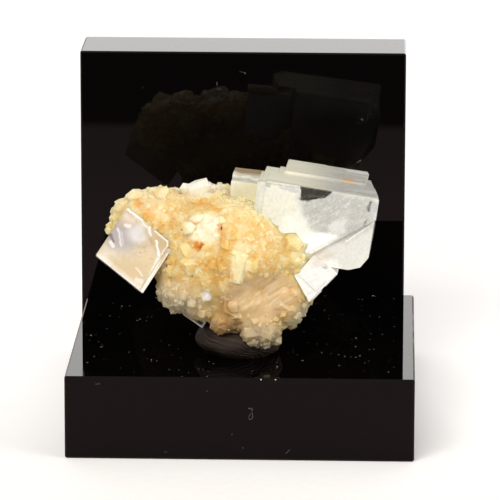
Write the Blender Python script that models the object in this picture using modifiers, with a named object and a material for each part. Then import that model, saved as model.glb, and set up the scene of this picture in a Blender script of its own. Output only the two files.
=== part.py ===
"""Clear fluorite cubes grown with cream quartz, held by putty on a two-piece black acrylic stand.

Metres, +Z up. The origin is the middle of the rectangle that the stand covers, at the height of
the surface it stands on. +X is right and +Y is away, seen from the front of the stand.
"""

import math
import random

import bmesh
import bpy
from mathutils import Matrix, Vector, noise

MM = 0.001

# Stand: a lying block and an upright panel behind it, sawn from the same sheet.
BASE_WIDTH = 50.0 * MM
BASE_DEPTH = 49.5 * MM
BASE_THICKNESS = 12.15 * MM
PANEL_WIDTH = 49.5 * MM
PANEL_THICKNESS = 12.0 * MM
PANEL_HEIGHT = 49.75 * MM
PANEL_OVERHANG = 1.03 * MM      # how far the panel stands out past the base's left side
ACRYLIC_BEVEL = 0.25 * MM
FACE_GAP = 0.25 * MM            # room between pieces that touch
MERGE_DISTANCE = 0.001 * MM     # doubled points left by a cut

# Putty: a pressed ball under the specimen.
PUTTY_CENTRE = (24.4, 14.9, 14.3)
PUTTY_RADII = (6.35, 5.9, 3.3)
PUTTY_TOP = 16.6                # height in mm where the specimen presses it flat
PUTTY_LUMP = 0.35               # height in mm of its dents
PUTTY_LUMPS_ACROSS = 2.2        # dents over its radius
PUTTY_LUMP_PLACE = (3.1, 0.4, 1.7)

# Quartz: lumps of the matrix as (centre, radii) in mm from the base's front left bottom corner.
QUARTZ_LUMPS = (
    ((22.2, 14.2, 27.0), (10.9, 8.4, 8.5)),      # middle
    ((12.6, 15.5, 30.5), (7.2, 6.4, 5.1)),       # left shoulder
    ((8.9, 14.0, 30.9), (3.5, 3.8, 3.1)),        # far left, behind the cube
    ((20.2, 16.5, 33.0), (5.9, 5.2, 3.5)),       # crest
    ((26.2, 12.8, 20.6), (6.7, 5.6, 5.5)),       # keel over the putty
    ((27.6, 9.6, 17.4), (3.2, 2.8, 3.2)),        # lobe hanging before the putty
    ((17.4, 12.3, 22.7), (5.3, 5.0, 4.0)),       # lower left
    ((19.0, 11.6, 20.2), (3.2, 3.3, 2.4)),       # over the small cube
    ((31.2, 12.2, 21.5), (3.3, 4.4, 3.6)),       # lower right
    ((23.5, 9.6, 28.8), (8.2, 4.4, 6.3)),        # front swell
    ((31.6, 11.0, 28.2), (3.5, 3.3, 4.2)),       # right swell, before the large fluorite
    ((34.0, 20.3, 27.8), (7.0, 4.8, 5.6)),       # back, behind the large fluorite
)
CORE_VOXEL = 0.75 * MM
CORE_TRIANGLES = 1300
CORE_ROUGHNESS = 0.35 * MM
CORE_SWELLS = ((3.2 * MM, 1.0), (1.5 * MM, 0.5))    # spans and shares of its unevenness
CORE_SMOOTHING = 4

# Quartz crystals: hexagonal prisms with six-sided points, sunk in the matrix.
CRYSTAL_SPACING = 2.3 * MM
CRYSTAL_RADIUS = (0.75 * MM, 1.7 * MM)
CRYSTAL_LENGTH = (0.0 * MM, 0.7 * MM)
CRYSTAL_SUNK = 1.4 * MM
CRYSTAL_LEAN = 0.55
POINT_STEEPNESS = 0.62          # height of a point over its radius
CRYSTAL_TAPER = 0.93            # radius under the point over radius at the foot
CRYSTAL_SEED = 7

# Larger quartz crystals as (middle of the foot, direction, radius, length) in mm.
LARGE_CRYSTALS = (
    ((24.0, 5.9, 24.5), (0.12, -0.12, 1.0), 1.25, 5.0),     # upright prism on the front
    ((17.7, 8.2, 31.2), (-0.10, -0.9, 0.35), 1.75, 1.7),    # pale cluster, left one
    ((20.3, 7.6, 31.5), (0.12, -0.9, 0.40), 1.85, 1.6),     # pale cluster, right one
    ((18.7, 15.5, 34.2), (-0.05, -0.2, 1.0), 1.9, 2.6),     # crest
    ((21.9, 16.0, 34.0), (0.15, 0.0, 1.0), 1.6, 1.8),       # crest, right
    ((15.2, 16.5, 34.0), (-0.1, 0.1, 1.0), 1.3, 1.4),       # crest, left
    ((32.0, 11.0, 19.6), (0.85, -0.3, 0.1), 1.4, 1.5),      # lower right end
    ((14.9, 11.5, 22.0), (-0.6, -0.3, -0.6), 1.2, 1.2),     # lower left end
    ((21.3, 10.6, 18.6), (-0.1, -0.5, -0.8), 1.3, 1.8),     # over the putty's left end
    ((7.3, 15.0, 30.6), (-1.0, -0.1, 0.1), 1.2, 1.1),       # far left
)

LARGE_CRYSTAL_TURN = 0.3        # turn of those about their own axes, in radians

# Fluorite: the large crystal's front top left corner and its tilt.
LARGE_CORNER = (28.46, 9.0, 38.8)
LARGE_ROLL = math.radians(8.0)          # its top edge falls to the right
LARGE_YAW = math.radians(-3.0)          # its right side comes forward
CUBE_BEVEL = 0.16 * MM

# Growth blocks of the large crystal, as low and high corners in mm in its own axes.
LARGE_BLOCKS = (
    ((0.0, 0.0, -12.5), (16.25, 6.3, 0.0)),         # front
    ((1.2, 3.0, -13.0), (15.3, 11.6, -0.06)),       # middle
    ((2.0, 8.0, -13.5), (14.0, 16.2, 0.08)),        # back
    ((-0.75, 0.35, -12.1), (3.0, 10.8, -0.16)),     # left terrace
    ((-1.2, 0.7, -11.6), (3.4, 7.7, -0.30)),        # outer left terrace
)
# Its lower right part ends at a diagonal: two points of it, seen from the front.
LARGE_DIAGONAL = ((35.3, 28.45), (44.4, 33.45))
DIAGONAL_LEAN = -0.25                   # how far that end face turns to the front

# Small crystal behind the large one's left edge, in two steps.
REAR_CORNER = (23.75, 14.0, 37.75)
REAR_YAW = math.radians(-3.0)
REAR_ROLL = math.radians(5.4)
REAR_BLOCKS = (
    ((0.0, 0.0, -6.5), (6.5, 3.9, 0.0)),
    ((-0.12, 3.5, -7.0), (6.4, 7.6, 0.35)),
)

# Lower crystal under the large one: its front bottom right corner, its size and two cut corners.
LOWER_CORNER = (43.2, 8.7, 25.6)
LOWER_ROLL = math.radians(8.5)
LOWER_BLOCK = ((-8.4, 0.0, 0.0), (0.0, 9.5, 8.4))
LOWER_CUTS = (
    ((38.56, 25.77), (43.2, 26.9)),
    ((42.0, 26.25), (43.6, 28.2)),
)

# White crystal at the lowest right end: its lowest front corner.
WHITE_CORNER = (34.75, 8.4, 21.6)
WHITE_ROLL = math.radians(-47.0)
WHITE_BLOCK = ((0.0, 0.0, 0.0), (5.7, 5.0, 4.0))
WHITE_BEVEL = 0.45 * MM

# Left cube: middle of its front face, the way it faces and the turn of its edges.
LEFT_MIDDLE = (9.5, 7.6, 28.75)
LEFT_FACING = (-0.20, -0.955, 0.22)
LEFT_TURN = math.radians(-38.0)
LEFT_SIZE = (8.2, 8.3, 8.0)
LEFT_LAYER = (7.0, 8.3, 0.5)            # raised growth layer on its front face

# Small cube peeping out under the quartz: its lowest front corner.
UNDER_CORNER = (18.9, 12.0, 16.35)
UNDER_FACING = (-0.1, -0.97, 0.2)
UNDER_TURN = math.radians(-33.0)
UNDER_SIZE = (3.4, 3.0, 3.0)
UNDER_BEVEL = 0.1 * MM

STAND_WIDTH = BASE_WIDTH + PANEL_OVERHANG
STAND_DEPTH = BASE_DEPTH + FACE_GAP + PANEL_THICKNESS
FRONT_LEFT = Vector((PANEL_OVERHANG - STAND_WIDTH / 2, -STAND_DEPTH / 2, 0.0))


def at(point):
    """A point in mm from the base's front left bottom corner, in metres in the object's frame."""
    return FRONT_LEFT + Vector(point) * MM


def material(name, colour, roughness, ior, transmission=0.0):
    """A Principled material. Nothing here is metal."""
    result = bpy.data.materials.new(name)
    result.use_nodes = True
    shader = result.node_tree.nodes["Principled BSDF"]
    shader.inputs["Base Color"].default_value = (*colour, 1.0)
    shader.inputs["Roughness"].default_value = roughness
    shader.inputs["Metallic"].default_value = 0.0
    shader.inputs["Transmission Weight"].default_value = transmission
    shader.inputs["IOR"].default_value = ior
    result.diffuse_color = (*colour, 1.0)
    return result


def add_object(name, form, collection, surface=None):
    """Turns a bmesh into a named object in a collection and frees the bmesh."""
    bmesh.ops.recalc_face_normals(form, faces=form.faces)
    mesh = bpy.data.meshes.new(name)
    form.to_mesh(mesh)
    form.free()
    result = bpy.data.objects.new(name, mesh)
    collection.objects.link(result)
    if surface:
        mesh.materials.append(surface)
    return result


def add_box(form, low, high, frame, bevel):
    """Makes an empty form a bevelled box between two corners given in metres in a frame."""
    size = high - low
    place = frame @ Matrix.Translation((low + high) / 2) @ Matrix.Diagonal((*size, 1.0))
    bmesh.ops.create_cube(form, size=1.0, matrix=place)
    bmesh.ops.bevel(form, geom=form.edges[:], offset=bevel, segments=1, affect="EDGES")


def tilted_frame(corner, yaw, roll):
    """Axes turned about the vertical, then rolled about their own depth, placed at a corner in mm."""
    turn = Matrix.Rotation(yaw, 4, "Z") @ Matrix.Rotation(roll, 4, "Y")
    return Matrix.Translation(at(corner)) @ turn


def facing_frame(corner, facing, turn):
    """Axes with depth against the facing direction, turned in the face, placed at a point in mm."""
    depth = -Vector(facing).normalized()
    side = depth.cross(Vector((0.0, 0.0, 1.0))).normalized()
    rise = side.cross(depth)
    axes = Matrix((side, depth, rise)).transposed().to_4x4()
    return Matrix.Translation(at(corner)) @ axes @ Matrix.Rotation(-turn, 4, "Y")


def evaluated_mesh(source):
    """The mesh of an object with its modifiers applied."""
    depsgraph = bpy.context.evaluated_depsgraph_get()
    depsgraph.update()
    return bpy.data.meshes.new_from_object(source.evaluated_get(depsgraph))


def apply_modifiers(target):
    """Replaces an object's mesh with its evaluated one."""
    old = target.data
    target.data = evaluated_mesh(target)
    target.modifiers.clear()
    bpy.data.meshes.remove(old)


def boolean(target, other, operation, self_crossing=False):
    """Joins or cuts a target with another object, with the exact solver."""
    modifier = target.modifiers.new(operation.title(), "BOOLEAN")
    modifier.operation = operation
    modifier.object = other
    modifier.solver = "EXACT"
    modifier.use_self = self_crossing
    apply_modifiers(target)


def keep_largest_body(target):
    """Deletes the small bodies that a cut leaves beside the main one, and merges doubled points."""
    form = bmesh.new()
    form.from_mesh(target.data)
    bmesh.ops.remove_doubles(form, verts=form.verts, dist=MERGE_DISTANCE)
    bodies = []
    left = set(form.verts)
    while left:
        reached = [left.pop()]
        body = []
        while reached:
            vert = reached.pop()
            body.append(vert)
            for edge in vert.link_edges:
                other = edge.other_vert(vert)
                if other in left:
                    left.remove(other)
                    reached.append(other)
        bodies.append(body)
    bodies.sort(key=len, reverse=True)
    for body in bodies[1:]:
        bmesh.ops.delete(form, geom=body, context="VERTS")
    form.to_mesh(target.data)
    form.free()


def make_guide(target):
    """Marks an object as a cutter or guide, which isn't part of the model."""
    target.hide_render = True
    target.display_type = "WIRE"


def build_base(collection, surface):
    """The lying block that carries the specimen."""
    form = bmesh.new()
    low = Vector((0.0, 0.0, 0.0))
    high = Vector((BASE_WIDTH, BASE_DEPTH, BASE_THICKNESS))
    add_box(form, low, high, Matrix.Translation(FRONT_LEFT), ACRYLIC_BEVEL)
    return add_object("base_block", form, collection, surface)


def build_panel(collection, surface):
    """The upright panel, which stands on the surface behind the base."""
    form = bmesh.new()
    low = Vector((-PANEL_OVERHANG, BASE_DEPTH + FACE_GAP, 0.0))
    high = low + Vector((PANEL_WIDTH, PANEL_THICKNESS, PANEL_HEIGHT))
    add_box(form, low, high, Matrix.Translation(FRONT_LEFT), ACRYLIC_BEVEL)
    return add_object("back_panel", form, collection, surface)


def putty_form(grow):
    """A dented ellipsoid with a flat foot and a flat top, larger all round by grow."""
    form = bmesh.new()
    bmesh.ops.create_icosphere(form, subdivisions=4, radius=1.0)
    middle = at(PUTTY_CENTRE)
    foot = BASE_THICKNESS + FACE_GAP - grow
    top = PUTTY_TOP * MM + grow
    for vert in form.verts:
        direction = vert.co.normalized()
        dent = noise.noise(direction * PUTTY_LUMPS_ACROSS + Vector(PUTTY_LUMP_PLACE)) * PUTTY_LUMP * MM
        reach = Vector([direction[axis] * (PUTTY_RADII[axis] * MM + grow + dent) for axis in range(3)])
        vert.co = middle + reach
    for height, side in ((foot, -1.0), (top, 1.0)):
        geometry = form.verts[:] + form.edges[:] + form.faces[:]
        cut = bmesh.ops.bisect_plane(
            form, geom=geometry, plane_co=(0.0, 0.0, height), plane_no=(0.0, 0.0, side),
            clear_outer=True)
        rim = [item for item in cut["geom_cut"] if isinstance(item, bmesh.types.BMEdge)]
        bmesh.ops.contextual_create(form, geom=rim)
    return form


def build_putty(collection, surface):
    """The ball of mounting putty."""
    result = add_object("mounting_putty", putty_form(0.0), collection, surface)
    result.data.shade_smooth()
    result.data.set_sharp_from_angle(angle=math.radians(40.0))
    return result


def block_form(block, frame, bevel, grow):
    """A bevelled block between two corners in mm in a frame, larger all round by grow."""
    low, high = (Vector(corner) * MM for corner in block)
    room = Vector((grow, grow, grow))
    form = bmesh.new()
    add_box(form, low - room, high + room, frame, bevel)
    return form


def slice_form(form, start, end, lean, grow):
    """Cuts a form along a line seen from the front, and keeps what lies left of start to end.

    The line's points are (x, z) in mm. lean turns the cut face towards the front.
    """
    first, second = (at((x, 0.0, z)) for x, z in (start, end))
    along = (second - first).normalized()
    outward = Vector((along.z, lean, -along.x)).normalized()
    plane_point = first + Vector((0.0, LARGE_CORNER[1] * MM, 0.0)) + outward * grow
    geometry = form.verts[:] + form.edges[:] + form.faces[:]
    cut = bmesh.ops.bisect_plane(
        form, geom=geometry, plane_co=plane_point, plane_no=outward, clear_outer=True)
    rim = [item for item in cut["geom_cut"] if isinstance(item, bmesh.types.BMEdge)]
    if rim:
        bmesh.ops.contextual_create(form, geom=rim)


def large_forms(grow):
    """The large crystal's growth blocks, each a closed form, larger all round by grow."""
    frame = tilted_frame(LARGE_CORNER, LARGE_YAW, LARGE_ROLL)
    for index, block in enumerate(LARGE_BLOCKS):
        yield f"large_{index}", block_form(block, frame, CUBE_BEVEL, grow)


def small_forms(grow):
    """The right cluster's other crystals, each a closed form, larger all round by grow."""
    rear = tilted_frame(REAR_CORNER, REAR_YAW, REAR_ROLL)
    for index, block in enumerate(REAR_BLOCKS):
        yield f"rear_{index}", block_form(block, rear, CUBE_BEVEL, grow)
    lower_frame = tilted_frame(LOWER_CORNER, LARGE_YAW, LOWER_ROLL)
    lower = block_form(LOWER_BLOCK, lower_frame, CUBE_BEVEL, grow)
    for start, end in LOWER_CUTS:
        slice_form(lower, start, end, 0.0, grow)
    yield "lower", lower
    white = tilted_frame(WHITE_CORNER, LARGE_YAW, WHITE_ROLL)
    yield "white", block_form(WHITE_BLOCK, white, WHITE_BEVEL, grow)


def left_cube_forms(grow):
    """The left cube and the raised growth layer on its front face."""
    room = Vector((grow, grow, grow))
    frame = facing_frame(LEFT_MIDDLE, LEFT_FACING, LEFT_TURN)
    width, height, depth = (value * MM for value in LEFT_SIZE)
    layer_width, layer_height, layer_thickness = (value * MM for value in LEFT_LAYER)
    corner = Vector((-width / 2, 0.0, -height / 2))
    body = bmesh.new()
    add_box(body, corner - room, corner + Vector((width, depth, height)) + room, frame, CUBE_BEVEL)
    yield "body", body
    layer = bmesh.new()
    low = corner + Vector((0.0, -layer_thickness, 0.0))
    high = corner + Vector((layer_width, layer_thickness, layer_height))
    add_box(layer, low - room, high + room, frame, CUBE_BEVEL)
    yield "layer", layer


def under_cube_forms(grow):
    """The small cube under the quartz."""
    room = Vector((grow, grow, grow))
    frame = facing_frame(UNDER_CORNER, UNDER_FACING, UNDER_TURN)
    width, height, depth = (value * MM for value in UNDER_SIZE)
    form = bmesh.new()
    low = Vector((-width, 0.0, 0.0))
    add_box(form, low - room, Vector((0.0, depth, height)) + room, frame, UNDER_BEVEL)
    yield "body", form


def join_forms(target, forms, collection):
    """Joins closed forms into a target object."""
    for part, form in forms:
        piece = add_object(f"{target.name}_{part}", form, collection)
        boolean(target, piece, "UNION")
        bpy.data.objects.remove(piece)


def build_joined(name, forms, collection, surface=None):
    """Makes one solid of closed forms."""
    (_, first), *others = forms
    result = add_object(name, first, collection, surface)
    join_forms(result, others, collection)
    return result


def build_cluster(name, grow, collection, surface=None):
    """The right cluster: the large crystal, its diagonal end, and the crystals grown to it."""
    result = build_joined(name, large_forms(grow), collection, surface)
    form = bmesh.new()
    form.from_mesh(result.data)
    slice_form(form, *LARGE_DIAGONAL, DIAGONAL_LEAN, grow)
    form.to_mesh(result.data)
    form.free()
    join_forms(result, small_forms(grow), collection)
    keep_largest_body(result)
    return result


def core_object(collection):
    """The matrix without its crystals: overlapping ellipsoids run together and roughened."""
    form = bmesh.new()
    for centre, radii in QUARTZ_LUMPS:
        place = Matrix.Translation(at(centre)) @ Matrix.Diagonal((*(Vector(radii) * MM), 1.0))
        bmesh.ops.create_icosphere(form, subdivisions=4, radius=1.0, matrix=place)
    core = add_object("quartz_core", form, collection)
    remesh = core.modifiers.new("Remesh", "REMESH")
    remesh.mode = "VOXEL"
    remesh.voxel_size = CORE_VOXEL
    smooth = core.modifiers.new("Smooth", "SMOOTH")
    smooth.iterations = CORE_SMOOTHING
    apply_modifiers(core)
    for vert in core.data.vertices:
        swell = sum(share * noise.noise(vert.co / span) for span, share in CORE_SWELLS)
        vert.co += vert.normal * swell * CORE_ROUGHNESS
    core.data.update()
    triangles = sum(len(face.vertices) - 2 for face in core.data.polygons)
    decimate = core.modifiers.new("Decimate", "DECIMATE")
    decimate.ratio = CORE_TRIANGLES / triangles
    apply_modifiers(core)
    return core


def add_crystal(form, foot, direction, radius, length, turn):
    """Adds a hexagonal prism with a point, from a foot in metres along a direction."""
    axis = Vector(direction).normalized()
    place = Matrix.Translation(foot) @ axis.to_track_quat("Z", "Y").to_matrix().to_4x4()
    place = place @ Matrix.Rotation(turn, 4, "Z") @ Matrix.Translation((0.0, 0.0, length / 2))
    made = bmesh.ops.create_cone(
        form, cap_ends=True, segments=6, radius1=radius, radius2=radius * CRYSTAL_TAPER,
        depth=length, matrix=place)
    faces = [face for vert in made["verts"] for face in vert.link_faces if len(face.verts) == 6]
    top = max(faces, key=lambda face: face.calc_center_median().dot(axis))
    bmesh.ops.poke(form, faces=[top], offset=radius * POINT_STEEPNESS)


def crystal_sites(core):
    """Points spread over the core at least the spacing apart, each with its outward direction."""
    chooser = random.Random(CRYSTAL_SEED)
    candidates = [(face.center.copy(), face.normal.copy()) for face in core.data.polygons]
    chooser.shuffle(candidates)
    sites = []
    for centre, outward in candidates:
        if all((centre - other).length > CRYSTAL_SPACING for other, _ in sites):
            sites.append((centre, outward))
    return sites, chooser


def build_quartz(collection, guides, surface):
    """The quartz matrix with its crystals, as one solid."""
    core = core_object(collection)
    sites, chooser = crystal_sites(core)
    form = bmesh.new()
    for centre, outward in sites:
        lean = Vector([chooser.uniform(-CRYSTAL_LEAN, CRYSTAL_LEAN) for _ in range(3)])
        direction = (outward + lean).normalized()
        radius = chooser.uniform(*CRYSTAL_RADIUS)
        length = chooser.uniform(*CRYSTAL_LENGTH) + CRYSTAL_SUNK
        foot = centre - direction * CRYSTAL_SUNK
        add_crystal(form, foot, direction, radius, length, chooser.uniform(0.0, math.pi))
    for foot, direction, radius, length in LARGE_CRYSTALS:
        add_crystal(form, at(foot), direction, radius * MM, length * MM, LARGE_CRYSTAL_TURN)
    crystals = add_object("quartz_crystals", form, guides)
    make_guide(crystals)
    boolean(core, crystals, "UNION", self_crossing=True)
    core.name = "quartz_matrix"
    core.data.materials.clear()
    core.data.materials.append(surface)
    return core


def cut_neighbours(target, cutters):
    """Cuts a solid back from its neighbours, given as enlarged copies of them."""
    for cutter in cutters:
        make_guide(cutter)
        boolean(target, cutter, "DIFFERENCE")
    keep_largest_body(target)


def new_collection(name):
    """A new collection linked to the scene."""
    result = bpy.data.collections.new(name)
    bpy.context.scene.collection.children.link(result)
    return result


def main():
    """Builds the whole model."""
    for old in list(bpy.data.objects):
        bpy.data.objects.remove(old)
    parts = new_collection("fluorite_with_quartz")
    guides = new_collection("cutters")
    acrylic = material("black_acrylic", (0.008, 0.006, 0.006), 0.06, 1.49)
    putty = material("grey_putty", (0.03, 0.028, 0.028), 0.7, 1.5)
    quartz = material("cream_quartz", (0.72, 0.55, 0.30), 0.3, 1.544)
    fluorite = material("clear_fluorite", (0.92, 0.92, 0.88), 0.05, 1.434, transmission=1.0)
    build_base(parts, acrylic)
    build_panel(parts, acrylic)
    build_putty(parts, putty)
    build_cluster("fluorite_cluster_right", 0.0, parts, fluorite)
    build_joined("fluorite_cube_left", left_cube_forms(0.0), parts, fluorite)
    under = build_joined("fluorite_cube_under", under_cube_forms(0.0), parts, fluorite)
    putty_cutter = add_object("putty_cutter", putty_form(FACE_GAP), guides)
    cut_neighbours(under, [putty_cutter])
    matrix = build_quartz(parts, guides, quartz)
    cut_neighbours(matrix, [
        build_cluster("cluster_cutter", FACE_GAP, guides),
        build_joined("left_cube_cutter", left_cube_forms(FACE_GAP), guides),
        build_joined("under_cube_cutter", under_cube_forms(FACE_GAP), guides),
        putty_cutter,
    ])


main()
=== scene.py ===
"""Clear fluorite grown with cream quartz on a black acrylic stand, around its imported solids.

Metres, +Z up. Named places are in millimetres from the base block's front left bottom corner:
x to the right, y away from the front, z up.
"""

from contextlib import contextmanager

import bmesh
import bpy
import numpy as np
from bpy.props import FloatProperty, FloatVectorProperty, IntProperty, PointerProperty
from mathutils import Matrix, Vector


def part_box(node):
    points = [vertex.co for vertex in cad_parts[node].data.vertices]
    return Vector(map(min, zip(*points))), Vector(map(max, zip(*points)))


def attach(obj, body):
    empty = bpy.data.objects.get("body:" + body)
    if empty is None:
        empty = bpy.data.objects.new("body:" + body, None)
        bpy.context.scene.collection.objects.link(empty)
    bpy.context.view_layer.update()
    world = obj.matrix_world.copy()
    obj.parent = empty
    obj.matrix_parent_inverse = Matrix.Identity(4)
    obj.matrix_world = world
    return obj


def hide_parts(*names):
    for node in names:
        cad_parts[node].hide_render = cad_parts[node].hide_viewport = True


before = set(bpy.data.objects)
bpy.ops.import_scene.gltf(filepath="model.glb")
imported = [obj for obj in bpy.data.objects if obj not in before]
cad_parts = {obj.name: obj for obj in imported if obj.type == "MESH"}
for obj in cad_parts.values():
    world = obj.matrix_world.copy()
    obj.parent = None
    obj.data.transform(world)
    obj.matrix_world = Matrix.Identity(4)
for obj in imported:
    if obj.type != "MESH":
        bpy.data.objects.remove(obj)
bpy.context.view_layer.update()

bl_info = {
    "name": "Fluorite with Quartz",
    "version": (1, 0, 0),
    "blender": (4, 5, 0),
    "location": "View3D > Sidebar > Specimen",
    "description": "Grows a fluorite and quartz specimen on its acrylic stand",
    "category": "Object",
}

MM = 0.001
CORNER = np.array(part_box("base_block")[0])
BASE_TOP = 12.15
PANEL_FRONT = 49.75

# Mesh work. Points nearer than WELD metres are one, growth blocks thinner than THINNEST mm are left
# out, and loose bits of fewer faces than CRUMB are taken away.
WELD = 1e-7
THINNEST = 0.05
CRUMB = 20
HOLE_SIDES = 8
MERGE_ROUNDS = 2
FIN_ROUNDS = 3

# What the corners of the noise lattice are hashed with.
HASH_STEPS = (73856093, 19349663, 83492791)
HASH_SEED = 2654435761
HASH_MIXES = ((15, 2246822519), (13, 3266489917))
HASH_LAST = 16
HASH_RANGE = 0xFFFFFFFF

# Quartz matrix: lumps as (centre, radii).
QUARTZ_LUMPS = (
    ((22.2, 14.2, 27.0), (10.9, 8.4, 8.5)),
    ((12.7, 15.5, 30.7), (7.0, 6.4, 5.3)),
    ((9.3, 14.0, 31.0), (3.3, 3.8, 3.0)),
    ((20.2, 16.5, 33.0), (5.9, 5.2, 3.5)),
    ((26.2, 12.8, 20.6), (6.7, 5.6, 5.5)),
    ((27.6, 9.6, 17.4), (3.2, 2.8, 3.2)),
    ((17.7, 12.1, 22.8), (5.2, 5.0, 4.1)),
    ((19.0, 11.6, 20.2), (3.2, 3.3, 2.4)),
    ((31.4, 12.0, 21.2), (3.2, 4.4, 4.2)),
    ((22.8, 11.0, 17.9), (2.5, 2.8, 2.2)),
    ((23.5, 9.6, 28.8), (8.2, 4.4, 6.3)),
    ((31.6, 11.0, 28.2), (3.5, 3.3, 4.2)),
    ((34.0, 20.3, 27.8), (7.0, 4.8, 5.6)),
)
CORE_GRID = (25, 36)
CORE_VOXEL = 0.4 * MM
CORE_SMOOTHING = 10
# Noise on the matrix: (span, height).
CORE_SWELLS = ((3.2, 0.35), (1.5, 0.22), (0.7, 0.08))

# Quartz crystals strewn over the matrix, coarse to fine: (radius from, to, how many at most).
CRYSTAL_SIZES = ((0.9, 1.5, 230), (0.5, 0.9, 760), (0.26, 0.48, 1500))
CRYSTAL_SUNK = (0.34, 0.22, 0.06)
CRYSTAL_PACKING = 0.60
CRYSTAL_LEAN = 0.34
CRYSTAL_SLENDER = (1.00, 1.55)
CRYSTAL_ROOT = 1.2
SEAM_HEIGHT = 0.75

# A crystal's random shape, in shares of its radius.
FLATNESS = (0.78, 1.0)
SHOULDER_RISE = (-0.24, 0.24)
SHOULDER_TAPER = 0.95
TIP_SHIFT = (-0.35, 0.35)
TIP_RISE = (0.20, 0.55)

# The smooth crystal face at the lower right: its outline in x and z, its front and its growth steps.
SMOOTH_OUTLINE = (
    (22.6, 19.9), (25.6, 18.3), (29.6, 18.9), (33.6, 21.8), (32.2, 25.9), (27.2, 25.7), (22.5, 24.8))
SMOOTH_FRONT = 7.62
SMOOTH_SLOPE = 0.13
SMOOTH_DEPTH = 3.0
SMOOTH_EDGE = 0.08
SMOOTH_NARROW = 0.985
SMOOTH_STEP = 0.05
SMOOTH_STEPS = (
    ((22.0, 21.6), (34.0, 25.9)), ((22.0, 20.6), (34.0, 25.0)), ((22.0, 19.9), (34.0, 24.4)),
    ((22.0, 18.9), (34.0, 23.1)), ((22.0, 18.1), (34.0, 22.5)),
)
SMOOTH_BARE = ((28.0, 7.3, 22.4), (4.4, 2.2, 2.6))

# Clear quartz points on the matrix: (centre and radii of the place that they cover, how many).
CLEAR_PLACES = (
    ((14.8, 10.0, 20.8), (4.2, 5.0, 1.8), 14),
    ((27.5, 8.8, 14.9), (3.4, 4.0, 1.6), 9),
    ((33.6, 12.0, 18.3), (2.6, 4.0, 3.2), 12),
    ((19.0, 15.5, 36.6), (4.8, 4.0, 1.4), 8),
    ((6.4, 15.0, 32.4), (2.4, 5.0, 3.4), 8),
    ((21.0, 22.0, 27.0), (9.0, 4.0, 7.0), 40),
)
CLEAR_RADII = (0.40, 0.95)
CLEAR_LEAN = 0.35
CLEAR_SLENDER = (1.3, 2.2)
CLEAR_ROOT = 1.45

# Quartz crystals with a place of their own: (foot, direction, radius, length).
NAMED_TURN = 0.3
NAMED_CRYSTALS = (
    ((24.4, 6.20, 24.8), (0.26, -0.12, 1.0), 0.95, 4.4),
    ((23.9, 6.35, 24.9), (0.12, -0.16, 1.0), 0.80, 3.3),
    ((22.6, 7.1, 28.3), (-0.20, -1.0, 0.35), 1.20, 1.35),
    ((17.9, 7.9, 32.1), (-0.50, -1.0, 0.35), 1.20, 1.35),
    ((18.7, 8.7, 33.0), (-0.10, -1.0, 0.80), 1.15, 1.35),
    ((20.1, 8.8, 33.1), (0.20, -1.0, 0.70), 1.15, 1.35),
    ((21.3, 8.2, 32.9), (0.50, -1.0, 0.30), 1.15, 1.35),
    ((20.5, 7.4, 32.2), (0.10, -1.0, 0.10), 1.35, 1.35),
    ((19.2, 7.5, 31.4), (-0.15, -1.0, 0.0), 1.20, 1.30),
    ((18.6, 15.5, 34.4), (-0.05, -0.2, 1.0), 1.9, 2.7),
    ((21.9, 16.0, 34.2), (0.15, 0.0, 1.0), 1.6, 1.8),
    ((15.2, 16.5, 34.2), (-0.1, 0.1, 1.0), 1.3, 1.4),
    ((9.8, 14.5, 34.0), (-0.3, -0.1, 1.0), 1.7, 1.6),
    ((11.8, 15.6, 34.9), (0.3, 0.2, 1.0), 1.2, 1.1),
    ((13.4, 14.6, 34.8), (-0.2, -0.3, 1.0), 1.6, 1.3),
    ((8.1, 14.2, 33.0), (-0.8, -0.1, 1.0), 1.3, 1.3),
    ((17.0, 16.0, 35.4), (-0.5, 0.0, 1.0), 1.2, 1.2),
    ((6.6, 13.6, 30.4), (-1.0, -0.2, 0.1), 1.0, 1.2),
    ((32.0, 11.0, 19.6), (0.85, -0.3, 0.1), 1.4, 1.5),
    ((14.9, 11.5, 22.0), (-0.6, -0.3, -0.6), 1.2, 1.2),
    ((21.6, 10.9, 18.6), (-0.1, -0.5, -0.8), 1.3, 1.6),
)

# Fluorite, as grown: corners, tilts and growth blocks.
LARGE_CORNER = (28.46, 9.0, 38.8)
LARGE_ROLL = 8.0
LARGE_YAW = -3.0
LARGE_BLOCKS = (
    ((0.0, 0.0, -12.5), (16.25, 6.3, 0.0)),
    ((1.2, 3.0, -13.0), (15.3, 11.6, -0.06)),
    ((2.0, 8.0, -13.5), (14.0, 16.2, 0.08)),
    ((-0.75, 0.35, -12.1), (3.0, 10.8, -0.16)),
    ((-1.2, 0.7, -11.6), (3.4, 7.7, -0.30)),
)
LARGE_DIAGONAL = ((35.3, 28.45), (44.4, 33.45))
DIAGONAL_LEAN = -0.25
LARGE_SIDE = ((42.85, 24.2), (44.55, 36.5))
SIDE_LEAN = 0.11
REAR_CORNER = (23.3, 14.0, 37.75)
REAR_YAW = -3.0
REAR_ROLL = 5.4
REAR_BLOCKS = (
    ((0.0, 0.0, -6.5), (6.9, 3.9, 0.0)),
    ((-0.12, 3.5, -7.0), (6.8, 7.6, 0.35)),
)
LOWER_CORNER = (42.85, 8.7, 25.6)
LOWER_ROLL = 8.5
LOWER_BLOCK = ((-8.4, 0.0, 0.0), (0.0, 9.5, 8.4))
LOWER_CUTS = (((38.56, 25.6), (43.2, 26.7)), ((41.7, 26.05), (43.3, 28.0)))
WHITE_CORNER = (34.5, 8.4, 21.05)
WHITE_ROLL = -47.0
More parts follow.
